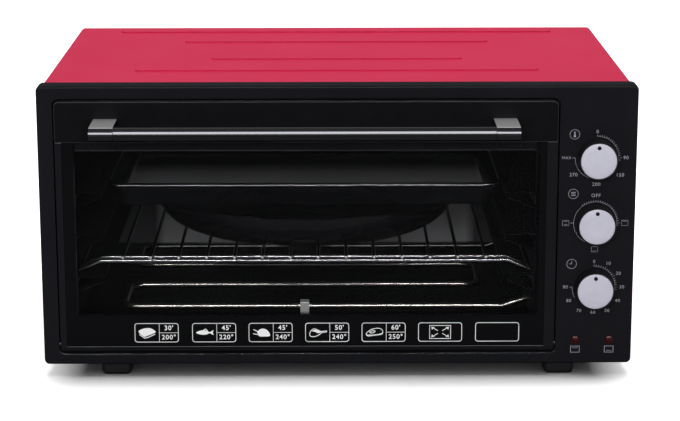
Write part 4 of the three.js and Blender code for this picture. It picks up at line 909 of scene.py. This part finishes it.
# The pilot lamps: two dark red lenses with domed faces and thin flanges, pushed through the panel's foot.
# The plastic is coloured right through, and a fine ripple in it breaks the colour up.
lamp_red = clouded("red_lens", (420.0, 3.0), ((0.020, 0.0010, 0.002), (0.048, 0.0026, 0.0045)), (0.16, 0.1),
                   (0.00006,), Specular_IOR_Level=0.08, Coat_Weight=0.12, Coat_Roughness=0.12)
lens_radius = 0.0039
lens_flange = 0.0008
lens_back = 0.0003
pilots = ("pilot_lamp_left", "pilot_lamp_right")
for name in pilots:
    centre, flange_radius, front, rear = round_box(name)
    proud = face_depth - front - lens_flange
    profile = [(0, front)]
    for step in range(1, 7):
        angle = math.pi / 2 * step / 6
        profile.append((lens_radius * math.sin(angle), front + proud * (1 - math.cos(angle)) ** 0.9))
    seat = face_depth - lens_back
    profile += [
        (flange_radius - 0.0003, face_depth - lens_flange), (flange_radius, face_depth - lens_flange / 2),
        (flange_radius, seat), (lens_radius, seat), (lens_radius, rear), (0, rear)]
    lens = bmesh.new()
    turned(lens, profile, centre, sides=48)
    set_out(lens, name + "_lens", lamp_red, "cabinet", "red_lens", name)


# The print on the panel and on the pane: pale grey ink laid through a screen, a few hundredths of a
# millimetre thick. Scales and numbers stand round the knobs, cooking times and heats along the pane's foot.
def screen_ink(name, dark, light):
    ink = Finish(name)
    mesh_mark = ink.cells(3200.0)
    cloud = ink.noise(120.0, 3.0)
    return ink.surface(
        Base_Color=ink.mixed(cloud, dark, light),
        Roughness=0.5 + mesh_mark * 0.2,
        Normal=ink.bumped(mesh_mark, 0.000005),
        Specular_IOR_Level=0.2)


panel_ink = screen_ink("panel_ink", (0.30, 0.30, 0.36, 1), (0.38, 0.38, 0.44, 1))
ink_proud = 0.00006
ink_sunk = 0.00002
stroke = 0.00046
mark_wide = 0.0004
figure_share = 0.70
figure_space = 1.14


def around(centre, angle, reach):
    """A place round a centre, in degrees clockwise from the top."""
    turn = math.radians(angle)
    return centre[0] + reach * math.sin(turn), centre[1] + reach * math.cos(turn)


class Print:
    """Flat ink on an upright face: strokes, filled shapes and numbers, each a thin closed body."""

    def __init__(self, depth, finish):
        self.finish = finish
        self.form = bmesh.new()
        self.front = depth - ink_proud
        self.rear = depth + ink_sunk

    def shape(self, outline):
        """A filled shape with a convex or gently hollow outline, given as points across and up."""
        lofted(self.form, [[self.form.verts.new((x, depth, z)) for x, z in outline]
                           for depth in (self.front, self.rear)])

    def line(self, points, width=stroke, closed=False):
        """A stroke of even width along points, joined end to start if closed."""
        points = [Vector(point) for point in points]
        rings = []
        for at, here in enumerate(points):
            before = points[at - 1] if at or closed else here
            after = points[(at + 1) % len(points)] if at + 1 < len(points) or closed else here
            inward = (here - before).normalized() if here != before else (after - here).normalized()
            onward = (after - here).normalized() if here != after else inward
            across = (inward + onward).normalized().orthogonal()
            reach = width / 2 / max(across.dot(onward.orthogonal()), 0.5)
            left, right = here + across * reach, here - across * reach
            rings.append([self.form.verts.new((x, depth, z)) for (x, z), depth in (
                (left, self.front), (right, self.front), (right, self.rear), (left, self.rear))])
        lofted(self.form, rings + rings[:1] if closed else rings)

    def arc(self, centre, radius, start, end, width=stroke):
        """A stroke round a centre, in degrees clockwise from the top."""
        steps = max(6, int(abs(end - start) / 6))
        whole = abs(end - start) >= 360
        self.line([around(centre, start + (end - start) * step / steps, radius)
                   for step in range(steps if whole else steps + 1)], width, whole)

    def box(self, left, low, wide, high, corner=0.0, width=stroke):
        """The outline of an oblong, its corners rounded."""
        outline = []
        right, top = left + wide - corner, low + high - corner
        left, low = left + corner, low + corner
        for quarter, (x, z) in enumerate(((right, top), (left, top), (left, low), (right, low))):
            for step in range(5 if corner else 1):
                angle = math.pi / 2 * (quarter + step / 4)
                outline.append((x + corner * math.cos(angle), z + corner * math.sin(angle)))
        self.line(outline, width, True)

    def words(self, text, across, up, height, weight=0.0):
        """Plain figures centred on a place, with their own height."""
        curve = bpy.data.curves.new("figures", "FONT")
        curve.body = text
        curve.align_x = "CENTER"
        curve.align_y = "CENTER"
        curve.size = height / figure_share
        curve.offset = weight
        curve.space_character = figure_space
        curve.extrude = (ink_proud + ink_sunk) / 2
        curve.resolution_u = 3
        mesh = baked(placed("figures", curve))
        bpy.data.curves.remove(curve)
        mesh.transform(Matrix.Translation((across, (self.front + self.rear) / 2, up))
                       @ Matrix.Rotation(math.pi / 2, 4, "X"))
        self.form.from_mesh(mesh)
        bpy.data.meshes.remove(mesh)

    def laid(self, name, body):
        """Closes the print's seams and lays it on a body."""
        bmesh.ops.remove_doubles(self.form, verts=self.form.verts, dist=0.000001)
        bmesh.ops.recalc_face_normals(self.form, faces=self.form.faces)
        return set_out(self.form, name, self.finish, body, None, sharp=math.radians(30))


def round_dial(recipe, centre, first, step, count):
    places = {"Start Location": centre, "Offset": (0, 0, 0), "Count": count}
    turn = first + step * recipe.node("GeometryNodeInputIndex")
    spin = recipe.node("ShaderNodeCombineXYZ", {}, {"Y": turn})
    return recipe.node("GeometryNodeMeshLine", {}, places), spin


dial_tree = pattern_tree("scale_ticks", panel_ink, {
    "Centre": "Vector", "First angle": "Float", "Step angle": "Float", "Count": "Int"}, round_dial)


panel = Print(face_depth, panel_ink)
ring_radius = 0.0215
tick_long = 0.0017
figure = 0.0035
heat, mode, minutes = dials = [round_box(name + "_knob")[0].xz for name in controls]
for centre, arcs, (low, high, count), long_marks, long_by in (
        (heat, ((0, 96, 0.0002), (180, 270, 0.00035)), (0, 96, 17), (90, 270), 0.0030),
        (mode, ((-180, 96, 0.0003),), (-36, 96, 23), (90, 270), 0.0030),
        (minutes, ((0, 96, 0.0002), (240, 272, 0.0003)), (0, 96, 17), (30, 60, 90, 270), 0.0026)):
    for first, last, width in arcs:
        panel.arc(centre, ring_radius, first, last, width)
    mark = Print(face_depth, panel_ink)
    mark.line([(0, ring_radius), (0, ring_radius + tick_long)], mark_wide)
    gather(panel.form, repeated(mark.form, "ticks", dial_tree, {
        "Centre": (centre[0], 0, centre[1]), "First angle": math.radians(low),
        "Step angle": math.radians((high - low) / (count - 1)), "Count": count}))
    for angle in long_marks:
        panel.line([around(centre, angle, ring_radius + reach) for reach in (0, long_by)], mark_wide)
for label, angle, reach in (("0", 0, 0.0262), ("90", 90, 0.0285), ("150", 127, 0.0290), ("200", 180, 0.0268),
                            ("270", 233, 0.0285), ("MAX", 270, 0.0300)):
    panel.words(label, *around(heat, angle, reach), figure * (0.8 if label == "MAX" else 1))
panel.words("OFF", *around(mode, 0, 0.0278), figure)
for at in range(10):
    panel.words(str(at * 10), *around(minutes, 30 * at, 0.0262 if at in (0, 6) else 0.0282), figure * 0.95)
oblong, oblong_high = 0.0064, 0.0054
for angle, reach, bars in ((90, 0.0293, (0.3,)), (180, 0.0270, (-0.3,)), (270, 0.0293, (0.3, -0.3))):
    across, up = around(mode, angle, reach)
    panel.box(across - oblong / 2, up - oblong_high / 2, oblong, oblong_high, 0.0, 0.00026)
    for share in bars:
        height = up + share * oblong_high
        panel.line([(across - oblong * 0.28, height), (across + oblong * 0.28, height)], 0.0003)

# Small signs beside the scales: a thermometer, three bars for the function, a clock, and an oven's outline
# under each lamp.
sign_across, sign_radius = -0.0224, 0.0048
heat_sign, mode_sign, clock_sign = signs = [
    centre + Vector((sign_across, rise)) for centre, rise in zip(dials, (0.0236, 0.0296, 0.0240))]
for sign in signs:
    panel.arc(sign, sign_radius, 0, 360, mark_wide)
panel.line([heat_sign + Vector((0, 0.0028)), heat_sign - Vector((0, 0.0010))], 0.0011)
panel.arc(heat_sign - Vector((0, 0.0017)), 0.0006, 0, 360, 0.0012)
for level in (-0.0016, 0, 0.0016):
    panel.line([mode_sign + Vector((side * 0.0022, level)) for side in (-1, 1)], 0.0006)
panel.line([clock_sign + Vector((0, 0.0030)), clock_sign, clock_sign - Vector((0.0024, 0))], 0.0005)
for name, bar_rise in zip(pilots, (0.0014, -0.0014)):
    across, _, up = round_box(name)[0] - Vector((0, 0, 0.0102))
    panel.box(across - 0.0044, up - 0.0032, 0.0088, 0.0064, 0.0, 0.0005)
    panel.line([(across - 0.0026, up + bar_rise), (across + 0.0026, up + bar_rise)], mark_wide)
panel.laid("panel_print", "cabinet")


def curved(points, steps=4):
    """A closed outline rounded through the points given."""
    smooth = []
    points = [Vector(point) for point in points]
    for at in range(len(points)):
        a, b, c, d = (points[(at + k) % len(points)] for k in (-1, 0, 1, 2))
        for step in range(steps):
            t = step / steps
            smooth.append(0.5 * (2 * b + (c - a) * t + (2 * a - 5 * b + 4 * c - d) * t * t
                                 + (3 * b - a - 3 * c + d) * t * t * t))
    return smooth


# Along the pane's foot seven rounded oblongs are printed: five foods with a time and a heat, a framed square
# for the room inside, and one left bare. The foods are drawn in millimetres about their own middle.
pane_ink = screen_ink("pane_ink", (0.92, 0.92, 0.93, 1), (0.97, 0.97, 0.98, 1))
pane = Print(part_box("door_glass_outer")[0].y, pane_ink)
card, card_high, card_corner, card_low = 0.0433, 0.0193, 0.0026, 0.0367
card_split, food_middle, legend_high, legend_weight = 0.0243, 0.0122, 0.0048, 0.00010
card_line, food_outline, food_stroke = 0.0006, 0.0007, 0.0008
card_lefts = (-0.2029, -0.1454, -0.0889, -0.0323, 0.0242, 0.0808, 0.1379)
bread = [(-8, 0), (-3.2, -4.0), (0.5, -3.0), (7.5, 0), (8, 1.8), (3, 4.8), (-3.6, 4.4), (-8.2, 2.2)]
crust = [(-8, -1.6), (-2.6, -5.6), (1, -4.7), (7.8, -1.4)]
fish = [(-8.6, 0), (-4, 2.2), (1.5, 2.3), (5, 0.6), (8.8, 2.6), (8, 0), (8.8, -2.6), (5, -0.6), (1.5, -2.0),
        (-4, -1.9)]
fin = [(-1.5, 2.4), (1, 3.8), (3, 1.8)]
fowl = [(-2, -3.8), (4, -4.2), (8.6, -3.6), (8, 0), (4.5, 3.4), (0, 3.8), (-3.8, 0.8)]
legs = [[(-3.6, 0.9), (-7.6, 3.2)], [(-2.8, -2.2), (-8.2, -1.2)]]
thigh = [(-8, -2.6), (-7.2, 1), (-4, 3.6), (0, 2.6), (3.4, 1.0), (8.4, 1.5), (8.4, 0.3), (4, -0.4),
         (1.2, -2.6), (-3, -4.4), (-6.6, -4.2)]
glaze = [(-5.6, 1.2), (-3.4, 2.7), (0, 2.0), (3.6, 0.6), (7.8, 1.0), (3.4, 0.0), (0, -0.8), (-2.6, 0.6)]
steak = [(-8, -1.8), (-5.6, 1.0), (-2, 3.2), (4, 4.2), (8, 2.4), (8.2, -1.6), (4, -2.8), (-1, -3.4),
         (-6, -4.0)]
bone = [(-4.4, 0.2), (-2, 1.4), (1, 1.2), (-0.6, -0.4), (-3, -0.9)]
rib = [(-7.6, -3.0), (-2, -3.0), (4, -2.4), (8.2, -1.2)]
foods = (
    {"filled": [bread], "strokes": [crust]},
    {"filled": [fish], "strokes": [fin]},
    {"filled": [fowl], "strokes": legs},
    {"filled": [glaze], "outlines": [thigh]},
    {"outlines": [steak, bone], "strokes": [rib]},
)
cooking = (("30'", "200°"), ("45'", "220°"), ("45'", "240°"), ("50'", "240°"), ("60'", "250°"))
for left, food, legends in zip(card_lefts, foods, cooking):
    middle = Vector((left + food_middle, card_low + card_high / 2))
    split = left + card_split
    pane.line([(split, card_low), (split, card_low + card_high)])
    pane.line([(split, middle.y), (left + card, middle.y)])
    for legend, rise in zip(legends, (card_high / 4, -card_high / 4)):
        pane.words(legend, (split + left + card) / 2, middle.y + rise, legend_high, legend_weight)
    for outline in food.get("filled", ()):
        pane.shape([middle + point / 1000 for point in curved(outline)])
    for outline in food.get("outlines", ()):
        pane.line([middle + point / 1000 for point in curved(outline)], food_outline, True)
    for points in food.get("strokes", ()):
        pane.line([middle + Vector(point) / 1000 for point in points], food_stroke)
for left in card_lefts:
    pane.box(left, card_low, card, card_high, card_corner, card_line)
room_middle = Vector((card_lefts[5] + card / 2, card_low + card_high / 2))
room_wide, room_high = 0.0210, 0.0136
pane.box(room_middle.x - room_wide / 2, room_middle.y - room_high / 2, room_wide, room_high, 0.0, card_line)
for side in (-1, 1):
    for end in (-1, 1):
        tip = room_middle + Vector((side * room_wide * 0.42, end * room_high * 0.40))
        pane.line([room_middle + Vector((side * 0.0022, end * 0.0014)), tip], food_outline)
        pane.shape([tip] + [tip - Vector((side * across, end * up)) for across, up in (
            (0.0034, 0.0004), (0.0006, 0.0030))])
pane.laid("pane_print", "door")


# The louvres: both sides of the cover are slit and pressed out into small hoods, which let the hot air
# out from round the controls. They are part of the painted sheet.
hood_long, hood_high, hood_proud, hood_sheet = 0.050, 0.0058, 0.0021, 0.0007
hood_sunk, hood_stations, hood_turns = 0.0003, 14, 6
louvre_pitch, louvre_rows, louvre_drop = 0.009, 6, 0.0612
louvre_shares = (0.5, 0.72)
cover_side = cover_high.x
louvres = bmesh.new()
for side in (1, -1):
    rings = []
    for station in range(hood_stations + 1):
        share = 2 * station / hood_stations - 1
        swell = max(1 - share ** 4, 0.12) ** 0.5
        ring = []
        for inner in (False, True):
            turns = range(hood_turns + 1)
            for turn in (reversed(turns) if inner else turns):
                angle = math.pi / 2 * turn / hood_turns
                sheet, sunk = (hood_sheet, hood_sunk) if inner else (0, hood_sunk / 2)
                out = max(hood_proud * swell - sheet, 0) * math.sin(angle) - sunk
                drop = (hood_high - sheet) * (1 - math.cos(angle)) + sheet
                ring.append((out, hood_long / 2 * share, hood_high * 0.75 - drop))
        rings.append(ring)
    hood = bmesh.new()
    lofted(hood, [[hood.verts.new((side * out, along, up)) for out, along, up in ring] for ring in rings])
    column = row_of(hood, "hoods", crimson, (0, 0, 0), (0, 0, -louvre_pitch * (louvre_rows - 1)), louvre_rows)
    ends = [(side * cover_side, face_depth + (cover_high.y - face_depth) * share, cover_high.z - louvre_drop)
            for share in louvre_shares]
    gather(louvres, row_of(column, "columns", crimson, ends[0], ends[1], len(louvre_shares)))
set_out(louvres, "cover_louvres", crimson, "cabinet", "red_paint")


# The fixings: zinc-plated pan-head screws with cross recesses hold the cover to the base plate at both
# sides, and the rear panel to the cover's flanges all round.
zinc = clouded("zinc_plate", (600.0, 3.0), ((0.52, 0.52, 0.54), (0.40, 0.40, 0.43)), (0.28, 0.2), (0.00001,),
               Metallic=0.95)
head_radius, head_high, head_sunk, recess_share, recess_deep = 0.0032, 0.0015, 0.0004, 0.58, 0.0007


def pan_head(turn=0.0, sides=32):
    """A pan-head screw that points along +Y, or turned from there about the upright."""
    head = bmesh.new()
    rings = [[head.verts.new((0, head_high - recess_deep, 0))]]
    for share in (0.2, recess_share, recess_share + 0.04, 0.85, 0.97, 1.0):
        rise = head_high * (1 - 0.9 * share ** 6)
        radius = head_radius * share
        ring = []
        for at in range(sides):
            angle = 2 * math.pi * at / sides
            in_cross = share <= 0.2 or (share <= recess_share and at % (sides // 4) == 0)
            up = rise - (recess_deep if in_cross else 0)
            across, over = radius * math.cos(angle), radius * math.sin(angle)
            ring.append(head.verts.new((across, up, over)))
        rings.append(ring)
    rings.append([head.verts.new((vert.co.x, -head_sunk, vert.co.z)) for vert in rings[-1]])
    lofted(head, rings)
    bmesh.ops.rotate(head, cent=(0, 0, 0), matrix=Matrix.Rotation(turn, 3, "Z"), verts=head.verts)
    return head


panel_low, panel_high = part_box("rear_panel")
edge_inset, rear_reach, side_rise = 0.0075, 0.085, 0.006
side_front, side_rear = 0.055, 0.020
screws = bmesh.new()
left, right = panel_low.x + edge_inset, panel_high.x - edge_inset
for up, count in ((panel_high.z - edge_inset, 5), (panel_low.z + edge_inset, 4)):
    ends = [(across, panel_high.y, up) for across in (left, right)]
    gather(screws, row_of(pan_head(), "rear_row", zinc, *ends, count))
for across in (left, right):
    ends = [(across, panel_high.y, up) for up in (panel_low.z + rear_reach, panel_high.z - rear_reach)]
    gather(screws, row_of(pan_head(), "rear_column", zinc, *ends, 2))
for side in (1, -1):
    ends = [(side * cover_side, depth, cover_low.z + side_rise)
            for depth in (cover_low.y + side_front, cover_high.y - side_rear)]
    gather(screws, row_of(pan_head(-side * math.pi / 2), "side_row", zinc, *ends, 3))
set_out(screws, "cover_screws", zinc, "cabinet", "heater_steel")


# The feet: four black moulded blocks with rounded lower edges, each screwed up into the base plate from a
# well in its underside.
foot_black = black_moulding("foot_moulding", 0.42)
foot_corner, foot_round, foot_steps, well_radius, well_deep = 0.0045, 0.0040, 6, 0.0055, 0.0050
for name in ("foot_front_left", "foot_front_right", "foot_rear_left", "foot_rear_right"):
    low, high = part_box(name)
    foot = bmesh.new()
    rings = [rounded_ring(foot, low, high, 0.0, high.z, foot_corner)]
    for step in range(foot_steps + 1):
        angle = math.pi / 2 * step / foot_steps
        inset, up = foot_round * (1 - math.cos(angle)), low.z + foot_round * (1 - math.sin(angle))
        rings.append(rounded_ring(foot, low, high, inset, up, foot_corner + 0.001))
    middle = ((low + high) / 2).xy
    for radius, up in ((well_radius, low.z), (well_radius - 0.0004, low.z + well_deep)):
        rings.append([foot.verts.new((*(middle + (vert.co.xy - middle).normalized() * radius), up))
                      for vert in rings[0]])
    lofted(foot, rings)
    set_out(foot, name + "_block", foot_black, "cabinet", "black_plastic", name)


# Where the supply comes in: a black gland through the rear panel, and inside it a pale terminal block
# screwed to the base plate.
pale = clouded("pale_moulding", (40.0, 4.0), ((0.66, 0.62, 0.53), (0.74, 0.71, 0.62)), (0.45, 0.15),
               (0.00002, 1200.0, 2.0))
eased("cord_gland", foot_black, "cabinet", "black_plastic", 0.0005)
eased("terminal_block", pale, "cabinet", "pale_plastic", 0.0004)
